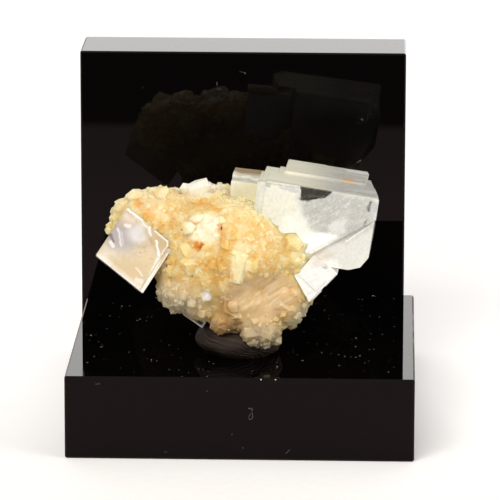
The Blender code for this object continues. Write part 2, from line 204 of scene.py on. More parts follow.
WHITE_BLOCKS = (
    ((0.0, 0.0, 0.0), (5.9, 5.0, 4.2)),
    ((0.9, 0.3, -0.22), (2.7, 3.6, 3.0)),
    ((2.2, -0.16, 0.4), (4.6, 3.0, 3.9)),
    ((3.5, 0.5, -0.14), (6.1, 4.2, 3.0)),
    ((0.3, -0.09, 0.8), (1.7, 2.0, 4.35)),
)
WHITE_CUT = ((32.75, 24.9), (34.9, 21.0))
LEFT_MIDDLE = (9.75, 7.75, 28.8)
LEFT_FACING = (0.08, -0.965, 0.25)
LEFT_TURNS = (-39.6, 56.3)
LEFT_SIZE = (8.55, 8.3, 8.1)
LEFT_LAYER = (7.95, 8.1, 0.20)
UNDER_CORNER = (19.15, 12.0, 16.35)
UNDER_FACING = (-0.1, -0.97, 0.2)
UNDER_TURNS = (-33.0, 57.0)
UNDER_BLOCK = ((-3.4, 0.0, 0.0), (0.0, 3.0, 3.0))
# how wide the small cube's painted edge highlights are, in mm
UNDER_HIGHLIGHT_WIDTH = 0.34

# Thin growth layers: (block, face as (axis, side), how many, thinnest and thickest).
LARGE_LAYERS = (
    (0, (2, 1), 7, (0.03, 0.12)), (2, (2, 1), 5, (0.03, 0.12)), (0, (1, -1), 4, (0.02, 0.07)),
    (0, (0, 1), 5, (0.03, 0.12)), (2, (1, 1), 6, (0.04, 0.15)),
)
LEFT_LAYERS = (
    (0, (1, -1), 5, (0.02, 0.08)), (0, (2, 1), 4, (0.03, 0.1)), (0, (0, -1), 4, (0.03, 0.1)))
LARGE_INSET = 0.15
LEFT_INSET = 0.12
LAYER_ROOT = 0.6
LAYER_BARE = (0.0, 0.75)
LAYER_BARE_CHANCE = 0.6
LAYER_CHAMFER = 0.02
VEIL_CHAMFER = 0.3

# What is cut out of the quartz round each clear crystal: its chamfer and how much smaller it is.
CUT_CHAMFER = 0.1
CUT_INSET = 0.15

# Putty. Its dents are noise: (shift, span, seed, height).
PUTTY_CENTRE = (24.4, 14.9, 14.3)
PUTTY_RADII = (6.35, 5.9, 3.3)
PUTTY_TOP = 16.9
PUTTY_SUNK = 0.01
PUTTY_GRID = (121, 220)
PUTTY_DENTS = ((5.0, 0.55, 11, 0.35), (9.0, 0.25, 12, 0.12))
PUTTY_RIDGES = 0.30

# Camera.
CAMERA_PLACE = (45.8963, -586.0153, 172.5078)
CAMERA_YAW = -0.0331
CAMERA_PITCH = 0.2369
CAMERA_ROLL = 0.0019
CAMERA_LENS = 307.26
CAMERA_SENSOR = 36.0
CAMERA_REACH = (0.01, 20.0)

# Stage. The floor's corners and chamfer are in metres, and the lights look at one place in mm.
FLOOR_CORNERS = ((-2.5, -2.5, -0.02), (2.5, 2.5, -0.00002))
FLOOR_CHAMFER = 0.001
AIM = (25.0, 12.0, 28.0)
# Lights: (name, place, size, share of the key light's power, colour).
LIGHTS = (
    ("key", (-80.0, -280.0, 310.0), 250.0, 1.0, (1.0, 0.98, 0.95)),
    ("side", (330.0, -140.0, 160.0), 220.0, 0.4, (1.0, 0.99, 0.98)),
)


def at(points):
    """Places in mm from the base block's corner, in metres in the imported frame."""
    return CORNER + np.asarray(points, float) * MM


def unit(vectors):
    """Vectors divided by their lengths."""
    vectors = np.asarray(vectors, float)
    return vectors / np.linalg.norm(vectors, axis=-1, keepdims=True)


def lattice_noise(points, span, seed):
    """Smooth noise from -1 to 1.

    A hashed random value stands on each corner of a cubic lattice of the span. Inside a cell the
    eight values are blended with weights 3t^2 - 2t^3 along each axis.
    """
    place = np.asarray(points, float) / span
    low = np.floor(place).astype(np.int64)
    part = place - low
    part = part * part * (3.0 - 2.0 * part)
    total = np.zeros(place.shape[:-1])
    for corner in np.ndindex(2, 2, 2):
        cell = low + corner
        key = np.bitwise_xor.reduce(cell * HASH_STEPS, axis=-1)
        key = (key ^ (seed * HASH_SEED)) & HASH_RANGE
        for shift, factor in HASH_MIXES:
            key = ((key ^ (key >> shift)) * factor) & HASH_RANGE
        weight = np.prod(np.where(np.array(corner) == 1, part, 1.0 - part), axis=-1)
        total += weight * ((key ^ (key >> HASH_LAST)) / (HASH_RANGE // 2) - 1.0)
    return total


def carried(rows):
    """Points and faces of closed outlines carried along a path.

    rows is (copies, stations, outline points, 3). Each outline is joined to the next by quads and
    the first and last are closed by a face. Outlines that shrink to a point are merged later.
    """
    copies, stations, around, _ = rows.shape
    index = np.arange(copies * stations * around).reshape(copies, stations, around)
    after = np.roll(index, -1, axis=2)
    quads = np.stack((index[:, :-1], after[:, :-1], after[:, 1:], index[:, 1:]), axis=-1)
    foot = index[:, 0, ::-1]
    head = index[:, -1]
    faces = quads.reshape(-1, 4).tolist() + foot.tolist() + head.tolist()
    return rows.reshape(-1, 3), faces


@contextmanager
def opened(mesh):
    """A mesh opened for work on its points, edges and faces, and written back at the end."""
    form = bmesh.new()
    form.from_mesh(mesh)
    yield form
    form.to_mesh(mesh)
    form.free()


def mesh_object(name, rows):
    """An object of closed outlines carried along a path, with its doubled points merged."""
    points, faces = carried(rows)
    mesh = bpy.data.meshes.new(name)
    mesh.from_pydata(points.tolist(), [], faces)
    with opened(mesh) as form:
        bmesh.ops.remove_doubles(form, verts=form.verts, dist=WELD)
    made = bpy.data.objects.new(name, mesh)
    bpy.context.scene.collection.objects.link(made)
    return made


def points_and_normals(mesh):
    """The points of a mesh and their directions, as two arrays."""
    found = []
    for items, label in ((mesh.vertices, "co"), (mesh.vertex_normals, "vector")):
        flat = np.empty(len(items) * 3, np.float32)
        items.foreach_get(label, flat)
        found.append(flat.reshape(-1, 3).astype(float))
    return found


def columns(table):
    """The columns of a table, as arrays."""
    return (np.array(column) for column in zip(*table))


def settle(target):
    """Replaces an object's mesh with what its modifiers make of it."""
    graph = bpy.context.evaluated_depsgraph_get()
    graph.update()
    made = bpy.data.meshes.new_from_object(target.evaluated_get(graph))
    target.modifiers.clear()
    target.data = made


def combine(target, others, operation="UNION"):
    """Joins closed objects into a target, or cuts them out of it, and removes them."""
    for other in others:
        modifier = target.modifiers.new("Combine", "BOOLEAN")
        modifier.operation = operation
        modifier.solver = "MANIFOLD"
        modifier.object = other
        settle(target)
        bpy.data.objects.remove(other)
    return target


def joined(forms):
    """Closed objects joined in the first of them."""
    return combine(forms[0], forms[1:])


def ellipsoid_rows(centres, radii, stations, around):
    """Ellipsoids as circles carried from pole to pole.

    A point at latitude a and longitude b is centre + radii * (cos a cos b, cos a sin b, sin a).
    """
    latitude = np.linspace(-np.pi / 2, np.pi / 2, stations)[:, None]
    longitude = np.linspace(0.0, 2 * np.pi, around, endpoint=False)[None, :]
    ball = np.stack((
        np.cos(latitude) * np.cos(longitude),
        np.cos(latitude) * np.sin(longitude),
        np.sin(latitude) * np.ones_like(longitude),
    ), axis=-1)
    ball[0] = (0.0, 0.0, -1.0)
    ball[-1] = (0.0, 0.0, 1.0)
    return np.asarray(centres)[:, None, None, :] + np.asarray(radii)[:, None, None, :] * ball


def crystal_rows(feet, axes, turns, radii, lengths, draw):
    """Six-sided crystals with uneven points, as outlines carried along their axes.

    The outline is a hexagon flattened across one direction. It is carried from the foot to a
    shoulder, whose six corners lie at uneven heights, and from there to a tip beside the axis.
    """
    count = len(feet)
    axes = unit(axes)
    aside = np.where(np.abs(axes[:, 2:]) < 0.9, (0.0, 0.0, 1.0), (1.0, 0.0, 0.0))
    side = unit(np.cross(axes, aside))
    other = np.cross(axes, side)
    angles = np.arange(6) * np.pi / 3
    flat = draw.uniform(*FLATNESS, count)[:, None]
    first = np.cos(turns)[:, None] * side + np.sin(turns)[:, None] * other
    second = np.cross(axes, first)
    across = np.cos(angles)[:, None] * first[:, None]
    along = (np.sin(angles) * flat)[..., None] * second[:, None]
    ring = (across + along) * radii[:, None, None]
    rise = draw.uniform(*SHOULDER_RISE, (count, 6)) * radii[:, None]
    foot = feet[:, None] + ring
    level = axes[:, None] * (lengths[:, None] + rise)[..., None]
    shoulder = feet[:, None] + ring * SHOULDER_TAPER + level
    beside = ring[:, 0] * draw.uniform(*TIP_SHIFT, count)[:, None]
    height = lengths + radii * draw.uniform(*TIP_RISE, count)
    tip = feet + beside + axes * height[:, None]
    return np.stack((foot, shoulder, np.repeat(tip[:, None], 6, axis=1)), axis=1)


def box_rows(lows, highs, chamfer):
    """Boxes with chamfered edges, as outlines carried upwards.

    The outline is a rectangle with its corners cut off. At the foot and the head it is drawn in
    by the chamfer, which makes its cut corners meet in a point.
    """
    lows = np.atleast_2d(lows)
    highs = np.atleast_2d(highs)
    middle = (lows + highs) / 2
    half = (highs - lows) / 2
    corners = np.array(((1, -1), (1, 1), (-1, 1), (-1, -1)), float)
    inner = half[:, :2] - chamfer
    full_x = np.stack((np.stack((half[:, 0], inner[:, 1]), -1),) * 4, axis=1) * corners
    full_y = np.stack((np.stack((inner[:, 0], half[:, 1]), -1),) * 4, axis=1) * corners
    order = []
    for corner in range(4):
        pair = (full_x, full_y) if corner % 2 else (full_y, full_x)
        order += [pair[0][:, corner], pair[1][:, corner]]
    wide = np.stack(order, axis=1)
    narrow = np.repeat(inner[:, None] * corners, 2, axis=1)
    stations = []
    for outline, level in ((narrow, -1.0), (wide, -1.0), (wide, 1.0), (narrow, 1.0)):
        reach = half[:, 2] - (chamfer if outline is wide else 0.0)
        height = np.broadcast_to((level * reach)[:, None, None], (*outline.shape[:2], 1))
        stations.append(np.concatenate((outline, height), axis=-1))
    return middle[:, None, None] + np.stack(stations, axis=1)


def tilted_frame(corner, yaw, roll):
    """Axes turned about the vertical, then rolled about their depth, at a place in mm."""
    turn = Matrix.Rotation(np.radians(yaw), 4, "Z") @ Matrix.Rotation(np.radians(roll), 4, "Y")
    return Matrix.Translation(at(corner)) @ turn


def facing_frame(corner, facing, turns):
    """Axes with depth against the facing direction and two others turned in the face, at a place."""
    depth = -Vector(facing).normalized()
    side = depth.cross(Vector((0.0, 0.0, 1.0))).normalized()
    up = side.cross(depth)
    across, rise = (side * np.cos(turn) + up * np.sin(turn) for turn in np.radians(turns))
    axes = Matrix((across, depth, rise)).transposed().to_4x4()
    return Matrix.Translation(at(corner)) @ axes


def grown_boxes(name, blocks, place, chamfer, grow):
    """Chamfered growth blocks, with corners in mm in their own axes, larger all round by grow.

    Blocks that would be too thin are left out.
    """
    place = np.array(place)
    made = []
    for low, high in np.array(blocks, float):
        if (high - low).min() + 2 * grow > THINNEST:
            rows = box_rows((low - grow) * MM, (high + grow) * MM, chamfer * MM)
            made.append(mesh_object(name, rows @ place[:3, :3].T + place[:3, 3]))
    return made


def crystal_form(name, blocks, place, chamfer, grow, layers=()):
    """A crystal of growth blocks and thin growth layers, as one closed surface."""
    return joined(
        grown_boxes(name, blocks, place, chamfer, grow)
        + grown_boxes(name, layers, place, LAYER_CHAMFER, grow))


def sliced(target, start, end, lean, grow):
    """Cuts an object along a line seen from the front, given as (x, z) in mm, moved out by grow."""
    first, second = (Vector(at((x, 0.0, z))) for x, z in (start, end))
    along = (second - first).normalized()
    outward = Vector((along.z, lean, -along.x)).normalized()
    point = first + Vector((0.0, LARGE_CORNER[1] * MM, 0.0)) + outward * grow * MM
    with opened(target.data) as form:
        cut = bmesh.ops.bisect_plane(
            form, geom=[*form.verts, *form.edges, *form.faces], plane_co=point, plane_no=outward,
            clear_outer=True)
        rim = [item for item in cut["geom_cut"] if isinstance(item, bmesh.types.BMEdge)]
        bmesh.ops.contextual_create(form, geom=rim)
    return target


def growth_layers(draw, blocks, table, inset):
    """Thin plates on the faces of blocks, as boxes in mm in the blocks' axes.

    A plate reaches the full face but for a random part of it left bare along one or two edges,
    and stands out by a random thickness.
    """
    plates = []
    for block, (axis, side), count, thickness in table:
        low, high = (np.array(corner) for corner in blocks[block])
        for _ in range(count):
            foot, head = low + inset, high - inset
            for other in (number for number in range(3) if number != axis):
                span = head[other] - foot[other]
                bare = span * draw.uniform(*LAYER_BARE) * (draw.random() < LAYER_BARE_CHANCE)
                if draw.random() < 0.5:
                    foot[other] += bare
                else:
                    head[other] -= bare
            out = draw.uniform(*thickness)
            if side > 0:
                foot[axis], head[axis] = high[axis] - LAYER_ROOT, high[axis] + out
            else:
                foot[axis], head[axis] = low[axis] - out, low[axis] + LAYER_ROOT
            plates.append((foot, head))
    return plates


def all_growth_layers(seed):
    """The growth layers of the large cluster and of the left cube."""
    draw = np.random.default_rng(seed)
    large = growth_layers(draw, LARGE_BLOCKS, LARGE_LAYERS, LARGE_INSET)
    width, depth, height = LEFT_SIZE
    low = np.array((-width / 2, -LEFT_LAYER[2], -height / 2))
    raised = (low, low + (LEFT_LAYER[0], depth, height))
    return large, growth_layers(draw, (raised,), LEFT_LAYERS, LEFT_INSET)


def cluster_form(name, chamfer, grow, layers=()):
    """The right cluster: the stepped large crystal, its diagonal end and the crystals on it."""
    place = tilted_frame(LARGE_CORNER, LARGE_YAW, LARGE_ROLL)
    large = crystal_form(name, LARGE_BLOCKS, place, chamfer, grow, layers)
    sliced(large, *LARGE_DIAGONAL, DIAGONAL_LEAN, grow)
    sliced(large, *LARGE_SIDE, SIDE_LEAN, grow)
    place = tilted_frame(REAR_CORNER, REAR_YAW, REAR_ROLL)
    others = grown_boxes(name, REAR_BLOCKS, place, chamfer, grow)
    for corner, roll, blocks, cuts in (
            (LOWER_CORNER, LOWER_ROLL, (LOWER_BLOCK,), LOWER_CUTS),
            (WHITE_CORNER, WHITE_ROLL, WHITE_BLOCKS, (WHITE_CUT,))):
        made = crystal_form(name, blocks, tilted_frame(corner, LARGE_YAW, roll), chamfer, grow)
        for start, end in cuts:
            sliced(made, start, end, 0.0, grow)
        others.append(made)
    return combine(large, others)


def left_cube_form(name, chamfer, grow, layers=()):
    """The left cube with the raised growth layer on its front face."""
    place = facing_frame(LEFT_MIDDLE, LEFT_FACING, LEFT_TURNS)
    width, depth, height = LEFT_SIZE
    layer_width, layer_height, layer = LEFT_LAYER
    low = np.array((-width / 2, 0.0, -height / 2))
    body = (low, low + (width, depth, height))
    raised = (low - (0.0, layer, 0.0), low + (layer_width, layer, layer_height))
    return crystal_form(name, (body, raised), place, chamfer, grow, layers)


def under_cube_form(name, chamfer, grow):
    """The small cube under the quartz."""
    place = facing_frame(UNDER_CORNER, UNDER_FACING, UNDER_TURNS)
    return crystal_form(name, (UNDER_BLOCK,), place, chamfer, grow)


def core_swell(points, seed):
    """How far the matrix stands out at some points: smooth noise of three spans, in metres."""
    return sum(height * MM * lattice_noise(points, span * MM, seed) for span, height in CORE_SWELLS)


def quartz_core(seed):
    """The matrix without its crystals: ellipsoids run together, smoothed and roughened."""
    centres, radii = columns(QUARTZ_LUMPS)
    core = mesh_object("quartz_druse", ellipsoid_rows(at(centres), radii * MM, *CORE_GRID))
    remesh = core.modifiers.new("Remesh", "REMESH")
    remesh.mode = "VOXEL"
    remesh.voxel_size = CORE_VOXEL
    core.modifiers.new("Smooth", "SMOOTH").iterations = CORE_SMOOTHING
    settle(core)
    points, outward = points_and_normals(core.data)
    points = points + outward * core_swell(points, seed)[:, None]
    core.data.vertices.foreach_set("co", points.astype(np.float32).ravel())
    core.data.update()
    return core


def mark_height(mesh, seed):
    """Stores how far each point stands out of the matrix, from 0 in its seams to 1.

    The distance to an ellipsoid is k (k - 1) / g, where k is the length of the place divided by
    the radii and g is the length of the place divided by the radii twice. The least one counts.
    """
    points, _ = points_and_normals(mesh)
    centres, radii = columns(QUARTZ_LUMPS)
    share = (points[:, None] - at(centres)[None]) / (radii * MM)
    reach = np.linalg.norm(share, axis=-1)
    slope = np.linalg.norm(share / (radii * MM), axis=-1)
    height = (reach * (reach - 1.0) / slope).min(axis=1) - core_swell(points, seed)
    layer = mesh.attributes.new("height", "FLOAT", "POINT")
    layer.data.foreach_set("value", np.clip(height / (SEAM_HEIGHT * MM), 0.0, 1.0).astype(np.float32))


def shuffled(core, draw):
    """The points of the matrix in a random order, and their directions."""
    order = draw.permutation(len(core.data.vertices))
    return (values[order] for values in points_and_normals(core.data))


def spaced(points, sizes, wanted, most, packing, kept):
    """Adds the numbers of up to so many more of the wanted points to those kept.

    A point is kept if no kept one lies nearer than the packing share of their two sizes added.
    """
    most += len(kept)
    for number in wanted:
        room = (sizes[kept] + sizes[number]) * packing
        if np.all(((points[kept] - points[number]) ** 2).sum(axis=1) > room * room):
            kept.append(number)
            if len(kept) == most:
                break
    return kept


def strewn_sites(core, draw):
    """Places, outward directions, radii and sinking of crystals on the matrix, coarse ones first.

    Each sort is spaced by itself, is sunk by its own share of the radius, and leaves the smooth
    face bare.
    """
    points, outward = shuffled(core, draw)
    points /= MM
    free = np.flatnonzero(~within(points - CORNER / MM, SMOOTH_BARE))
    chosen, radii, sunk = [], [], []
    for (smallest, largest, most), sinking in zip(CRYSTAL_SIZES, CRYSTAL_SUNK):
        sizes = draw.uniform(smallest, largest, len(points))
        kept = spaced(points, sizes, free, most, CRYSTAL_PACKING, [])
        chosen += kept
        radii += sizes[kept].tolist()
        sunk += [sinking] * len(kept)
    return points[chosen], outward[chosen], np.array(radii), np.array(sunk)


def apart_groups(points, reach):
    """Sorts crystals into groups in which no two can touch, by greedy colouring."""
    gap = np.linalg.norm(points[:, None] - points[None], axis=2)
    near = gap < reach[:, None] + reach[None]
    group = np.full(len(points), -1)
    for number in range(len(points)):
        taken = set(group[near[number]].tolist())
        group[number] = next(free for free in range(len(points)) if free not in taken)
    return [np.flatnonzero(group == value) for value in range(group.max() + 1)]


def within(points, place):
    """Which points lie in an ellipsoid given as (centre, radii)."""
    centre, radii = (np.array(value) for value in place)
    return (((points - centre) / radii) ** 2).sum(axis=-1) < 1.0


def slab_form(name, raised):
    """The smooth crystal face: its outline carried from inside the quartz to its chamfered front.

    A point of the front stands at y = front + slope * (x - first x) - raised.
    """
    outline = np.array(SMOOTH_OUTLINE)
    middle = outline.mean(axis=0)
    narrow = middle + (outline - middle) * SMOOTH_NARROW
    rows = []
    for ring, depth in ((outline, SMOOTH_DEPTH), (outline, SMOOTH_EDGE), (narrow, 0.0)):
        front = SMOOTH_FRONT + SMOOTH_SLOPE * (ring[:, 0] - outline[0, 0]) - raised + depth
        rows.append(np.stack((ring[:, 0], front, ring[:, 1]), axis=-1))
    return mesh_object(name, at(rows)[None])


def smooth_face_forms():
    """The smooth face and its growth steps, each a little further out and cut off along a line."""
    forms = [slab_form("smooth", 0.0)]
    for number, (start, end) in enumerate(SMOOTH_STEPS, 1):
        forms.append(sliced(slab_form("smooth", SMOOTH_STEP * number), end, start, 0.0, 0.0))
    return forms


def grown_crystals(name, origin, sites, outward, radii, lean, slender, root, draw):
    """Crystals on sites in mm from an origin, as closed objects in which none touches another.

    An axis is the outward direction with random lean added. A length is the radius times a
    random factor, and the foot lies under the site by root times the radius.
    """
    axes = unit(outward + draw.normal(0.0, lean, outward.shape))
    lengths = radii * draw.uniform(*slender, len(sites))
    feet = sites - axes * (radii * root)[:, None]
    turns = draw.uniform(0.0, np.pi, len(sites))
    rows = crystal_rows(origin + feet * MM, axes, turns, radii * MM, lengths * MM, draw)
    middle = feet + axes * (lengths / 2)[:, None]
    groups = apart_groups(middle, np.hypot(lengths / 2 + radii, radii))
    return [mesh_object(name, rows[group]) for group in groups]


def clear_points_form(settings):
    """Small clear crystals on the edges of the matrix, as one closed surface."""
    draw = np.random.default_rng(settings.seed + 1)
    core = quartz_core(settings.seed)
    points, outward = shuffled(core, draw)
    bpy.data.objects.remove(core)
    points = (points - CORNER) / MM
    sizes = draw.uniform(*CLEAR_RADII, len(points))
    kept = []
    for centre, radii, most in CLEAR_PLACES:
        inside = np.flatnonzero(within(points, (centre, radii)))
        spaced(points, sizes, inside, most, 1.0, kept)
    return joined(grown_crystals(
        "clear_quartz_points", CORNER, points[kept], outward[kept], sizes[kept], CLEAR_LEAN,
        CLEAR_SLENDER, CLEAR_ROOT, draw))


def quartz_form(settings):
    """The quartz matrix with all its crystals, as one closed surface."""
    draw = np.random.default_rng(settings.seed)
    core = quartz_core(settings.seed)
    sites, outward, radii, sunk = strewn_sites(core, draw)
    combine(core, grown_crystals(
        "strewn", 0.0, sites, outward, radii, CRYSTAL_LEAN, CRYSTAL_SLENDER, CRYSTAL_ROOT + sunk, draw))
    feet, axes, radii, lengths = columns(NAMED_CRYSTALS)
    turns = np.full(len(feet), NAMED_TURN)
    named = crystal_rows(at(feet), axes, turns, radii * MM, lengths * MM, draw)
    combine(core, [mesh_object("named", rows[None]) for rows in named])
    combine(core, smooth_face_forms())
    crystals = (cluster_form, left_cube_form, under_cube_form)
    combine(core, [form("cut", CUT_CHAMFER, -CUT_INSET) for form in crystals], "DIFFERENCE")
    mark_height(core.data, settings.seed)
    return core


def putty_form(settings):
    """The pressed ball of putty, as circles carried from its foot to its top.

    A point at latitude a and longitude b lies on an ellipsoid whose radii swell with smooth noise
    and with fine ridges, sine waves of the height bent by noise. The foot and the top are flat.
    """
    way = ellipsoid_rows([(0.0, 0.0, 0.0)], [(1.0, 1.0, 1.0)], *PUTTY_GRID)[0]
    dents = sum(
        lattice_noise(way + shift, span, seed) * height for shift, span, seed, height in PUTTY_DENTS)
    bend = lattice_noise(way * (1.0, 1.0, 0.6) + 3.0, 0.5, 13) * 0.9
    ridges = np.sin((way[..., 2] * PUTTY_RADII[2] + bend) * 2 * np.pi / PUTTY_RIDGES)
    weight = np.clip(lattice_noise(way + 7.0, 0.4, 14) + 0.5, 0.0, 1.0)
    reach = np.array(PUTTY_RADII) + (dents + ridges * weight * settings.ridge_height / MM)[..., None]
    points = np.array(PUTTY_CENTRE) + way * reach
    points[..., 2] = np.clip(points[..., 2], BASE_TOP - PUTTY_SUNK, PUTTY_TOP)
    made = mesh_object("pressed_putty", at(points)[None])
    made.data.shade_smooth()
    return made


ORIGIN = (0.0, 0.0, 0.0)
FULL = (1.0, 1.0, 1.0)
BLACK = (0.0, 0.0, 0.0)


class Wiring:
    """Lays nodes in a tree. A socket given for an input is linked, and a plain value is set.

    Spans and reaches are in mm. A coat is a colour and a value.
    """

    def __init__(self, tree, shader=None):
        self.tree = tree
        self.shader = shader

    def add(self, kind, inputs=None, **settings):
        """A node with its settings and inputs."""
        made = self.tree.nodes.new(kind)
        for name, value in settings.items():
            setattr(made, name, value)
        for name, value in (inputs or {}).items():
            self.plug(made.inputs[name], value)
        return made

    def plug(self, socket, value):
        """Links a socket, or sets a plain value."""
        if isinstance(value, bpy.types.NodeSocket):
            self.tree.links.new(value, socket)
        else:
            socket.default_value = value

    def feed(self, label, value):
        """Plugs an input of the shader."""
        self.plug(self.shader.inputs[label], value)

    def math(self, operation, *values):
        """A number worked out of up to three."""
        node = self.add("ShaderNodeMath", operation=operation)
        for socket, value in zip(node.inputs, values):
            self.plug(socket, value)
        return node.outputs[0]

    def times(self, first, second):
        """Two numbers multiplied."""
        return self.math("MULTIPLY", first, second)

    def vector(self, operation, *values):
        """A vector or a number worked out of one or two vectors."""
        node = self.add("ShaderNodeVectorMath", operation=operation)
        for socket, value in zip(node.inputs, values):
            self.plug(socket, value)
        return node.outputs["Value" if operation in ("LENGTH", "DOT_PRODUCT") else "Vector"]

    def split(self, vector):
        """The X, Y and Z of a vector."""
        return self.add("ShaderNodeSeparateXYZ", {"Vector": vector}).outputs

    def mix(self, share, first, second):
        """A colour between two."""
        node = self.add("ShaderNodeMix", data_type="RGBA")
        sockets = {socket.identifier: socket for socket in (*node.inputs, *node.outputs)}
        self.plug(sockets["Factor_Float"], share)
        for name, colour in (("A_Color", first), ("B_Color", second)):
            linked = isinstance(colour, bpy.types.NodeSocket)
            self.plug(sockets[name], colour if linked else (*colour, 1.0))
        return sockets["Result_Color"]

    def between(self, value, low, high, out_low=0.0, out_high=1.0):
        """A number carried smoothly from one range to another and held at its ends."""
        names = ("Value", "From Min", "From Max", "To Min", "To Max")
        inputs = dict(zip(names, (value, low, high, out_low, out_high)))
        return self.add("ShaderNodeMapRange", inputs, interpolation_type="SMOOTHSTEP").outputs["Result"]

    def noise(self, place, span, detail=2.0, rough=0.5, output="Fac"):
        """Noise with features of about a span."""
        node = self.add("ShaderNodeTexNoise", {
            "Vector": place, "Scale": 1.0 / (span * MM), "Detail": detail, "Roughness": rough})
        return node.outputs[output]

    def ragged(self, place, span, reach):
        """A place shifted by noise of a span, by up to a reach."""
        centred = self.vector("SUBTRACT", self.noise(place, span, 3.0, output="Color"), (0.5, 0.5, 0.5))
        return self.vector("ADD", place, self.vector("MULTIPLY", centred, (2 * reach * MM,) * 3))

    def in_axes(self, place, matrix):
        """A place in the axes of a crystal."""
        parts = (
            self.math("ADD", self.vector("DOT_PRODUCT", place, tuple(row[:3])), row[3])
            for row in matrix.inverted()[:3])
        return self.add("ShaderNodeCombineXYZ", dict(zip("XYZ", parts))).outputs["Vector"]

    def group(self, name, **inputs):
        """A shader node group with its inputs. It is made the first time that it is asked for."""
        tree = bpy.data.node_groups.get(name) or GROUPS[name](name)
        node = self.add("ShaderNodeGroup", node_tree=tree)
        for label, value in inputs.items():
            self.plug(node.inputs[label.title()], value)
        return node.outputs[0]

    def specks(self, place, spacing, radius, share):
        """Small round specks."""
        return self.group("Specks", place=place, spacing=spacing * MM, radius=radius, share=share)

    def streaks(self, place, slope, stretch, span, detail=2.0, rough=0.5):
        """Noise of a span, drawn out in axes that are turned by a slope about the depth."""
        return self.group(
            "Streaks", place=place, turn=(0.0, slope, 0.0), stretch=stretch, scale=1.0 / (span * MM),
            detail=detail, roughness=rough)

    def spot(self, place, centre, radii, edge):
        """A soft spot, with its centre and radii in mm."""
        radii = tuple(np.array(radii) * MM)
        return self.group("Spot", place=place, centre=tuple(at(centre)), radii=radii, edge=edge)

    def laid(self, mask, share, under, over):
        """A coat with another laid over it where a mask is. None in it leaves what is under it."""
        (colour, value), (tint, level, *_) = under, (*over, None)
        mask = self.times(mask, share)
        if tint is not None:
            colour = self.mix(mask, colour, tint)
        if level is not None:
            value = self.math("MULTIPLY_ADD", self.math("SUBTRACT", level, value), mask, value)
        return colour, value

    def painted(self, place, coat, spots, weight=None):
        """Lays soft spots over a coat, each as (centre, radii, edge, share, colour, value).

        A weight, where given, thins all the spots.
        """
        for centre, radii, edge, share, *over in spots:
            mask = self.spot(place, centre, radii, edge)
            if weight is not None:
                mask = self.times(mask, weight)
            coat = self.laid(mask, share, coat, over)
        return coat

    def stroked(self, place, coat, strokes):
        """Lays soft lines over a coat, each as (start, end, width, share, colour, value)."""
        for start, end, width, share, *over in strokes:
            start, end = ((x * MM, 0.0, z * MM) for x, z in (start, end))
            mask = self.group("Stroke", place=place, start=start, end=end, width=width * MM)
            coat = self.laid(mask, share, coat, over)
        return coat

    def patched(self, place, coat, patches):
        """Lays convex patches over a coat, each as (outline, edge, share, colour, value).

        The outline goes counter-clockwise in x and z. A place is inside where it lies to the left
        of every side.
        """
        for outline, edge, share, *over in patches:
            corners = np.array(outline) * MM
            mask = 1.0
            for (x0, z0), (x1, z1) in zip(corners, np.roll(corners, -1, axis=0)):
                length = np.hypot(x1 - x0, z1 - z0)
                inward = (-(z1 - z0) / length, 0.0, (x1 - x0) / length)
                reach = inward[0] * x0 + inward[2] * z0
                far = self.vector("DOT_PRODUCT", place, inward)
                mask = self.times(mask, self.between(far, reach - edge * MM / 2, reach + edge * MM / 2))
            coat = self.laid(mask, share, coat, over)
        return coat

    def bump(self, height, strength, depth):
        """Gives the shader a relief of a depth."""
        node = self.add("ShaderNodeBump", {
            "Height": height, "Strength": strength, "Distance": depth * MM})
        self.feed("Normal", node.outputs["Normal"])

    def fill(self, tint, density):
        """Fills a clear material with an absorption of a tint and a density per metre."""
        inside = self.add("ShaderNodeVolumeAbsorption", {"Color": (*tint, 1.0), "Density": density})
        output = next(node for node in self.tree.nodes if node.type == "OUTPUT_MATERIAL")
        self.plug(output.inputs["Volume"], inside.outputs["Volume"])


def new_group(name, output, **inputs):
    """An empty shader node group, with its wiring, its inputs and the socket of its output."""
    tree = bpy.data.node_groups.new(name, "ShaderNodeTree")
    for label, default in inputs.items():
        kind = "NodeSocketVector" if isinstance(default, tuple) else "NodeSocketFloat"
        tree.interface.new_socket(label, in_out="INPUT", socket_type=kind).default_value = default
    tree.interface.new_socket(output, in_out="OUTPUT", socket_type="NodeSocketFloat")
    wiring = Wiring(tree)
    given = wiring.add("NodeGroupInput").outputs
    return tree, wiring, given, wiring.add("NodeGroupOutput").inputs[output]


def spot_group(name):
    """A soft ellipsoidal spot: 1 inside the radii, 0 outside, with an edge of a given width."""
    tree, wiring, given, result = new_group(
        name, "Mask", Place=ORIGIN, Centre=ORIGIN, Radii=FULL, Edge=0.5)
    away = wiring.vector("SUBTRACT", given["Place"], given["Centre"])
    share = wiring.vector("LENGTH", wiring.vector("DIVIDE", away, given["Radii"]))
    low, high = (wiring.math(side, 1.0, given["Edge"]) for side in ("SUBTRACT", "ADD"))
    wiring.plug(result, wiring.between(share, high, low))
    return tree


def speck_group(name):
    """Small round specks: the cells of a spacing, of which a share holds a speck of a radius."""
    tree, wiring, given, result = new_group(
        name, "Mask", Place=ORIGIN, Spacing=0.001, Radius=0.15, Share=0.2)
    scale = wiring.math("DIVIDE", 1.0, given["Spacing"])
    cells = wiring.add("ShaderNodeTexVoronoi", {"Vector": given["Place"], "Scale": scale})
    split = wiring.add("ShaderNodeSeparateColor", {"Color": cells.outputs["Color"]}).outputs
    size = wiring.times(given["Radius"], split["Green"])
    near = wiring.math("LESS_THAN", cells.outputs["Distance"], size)
    wiring.plug(result, wiring.times(near, wiring.math("LESS_THAN", split["Red"], given["Share"])))
    return tree


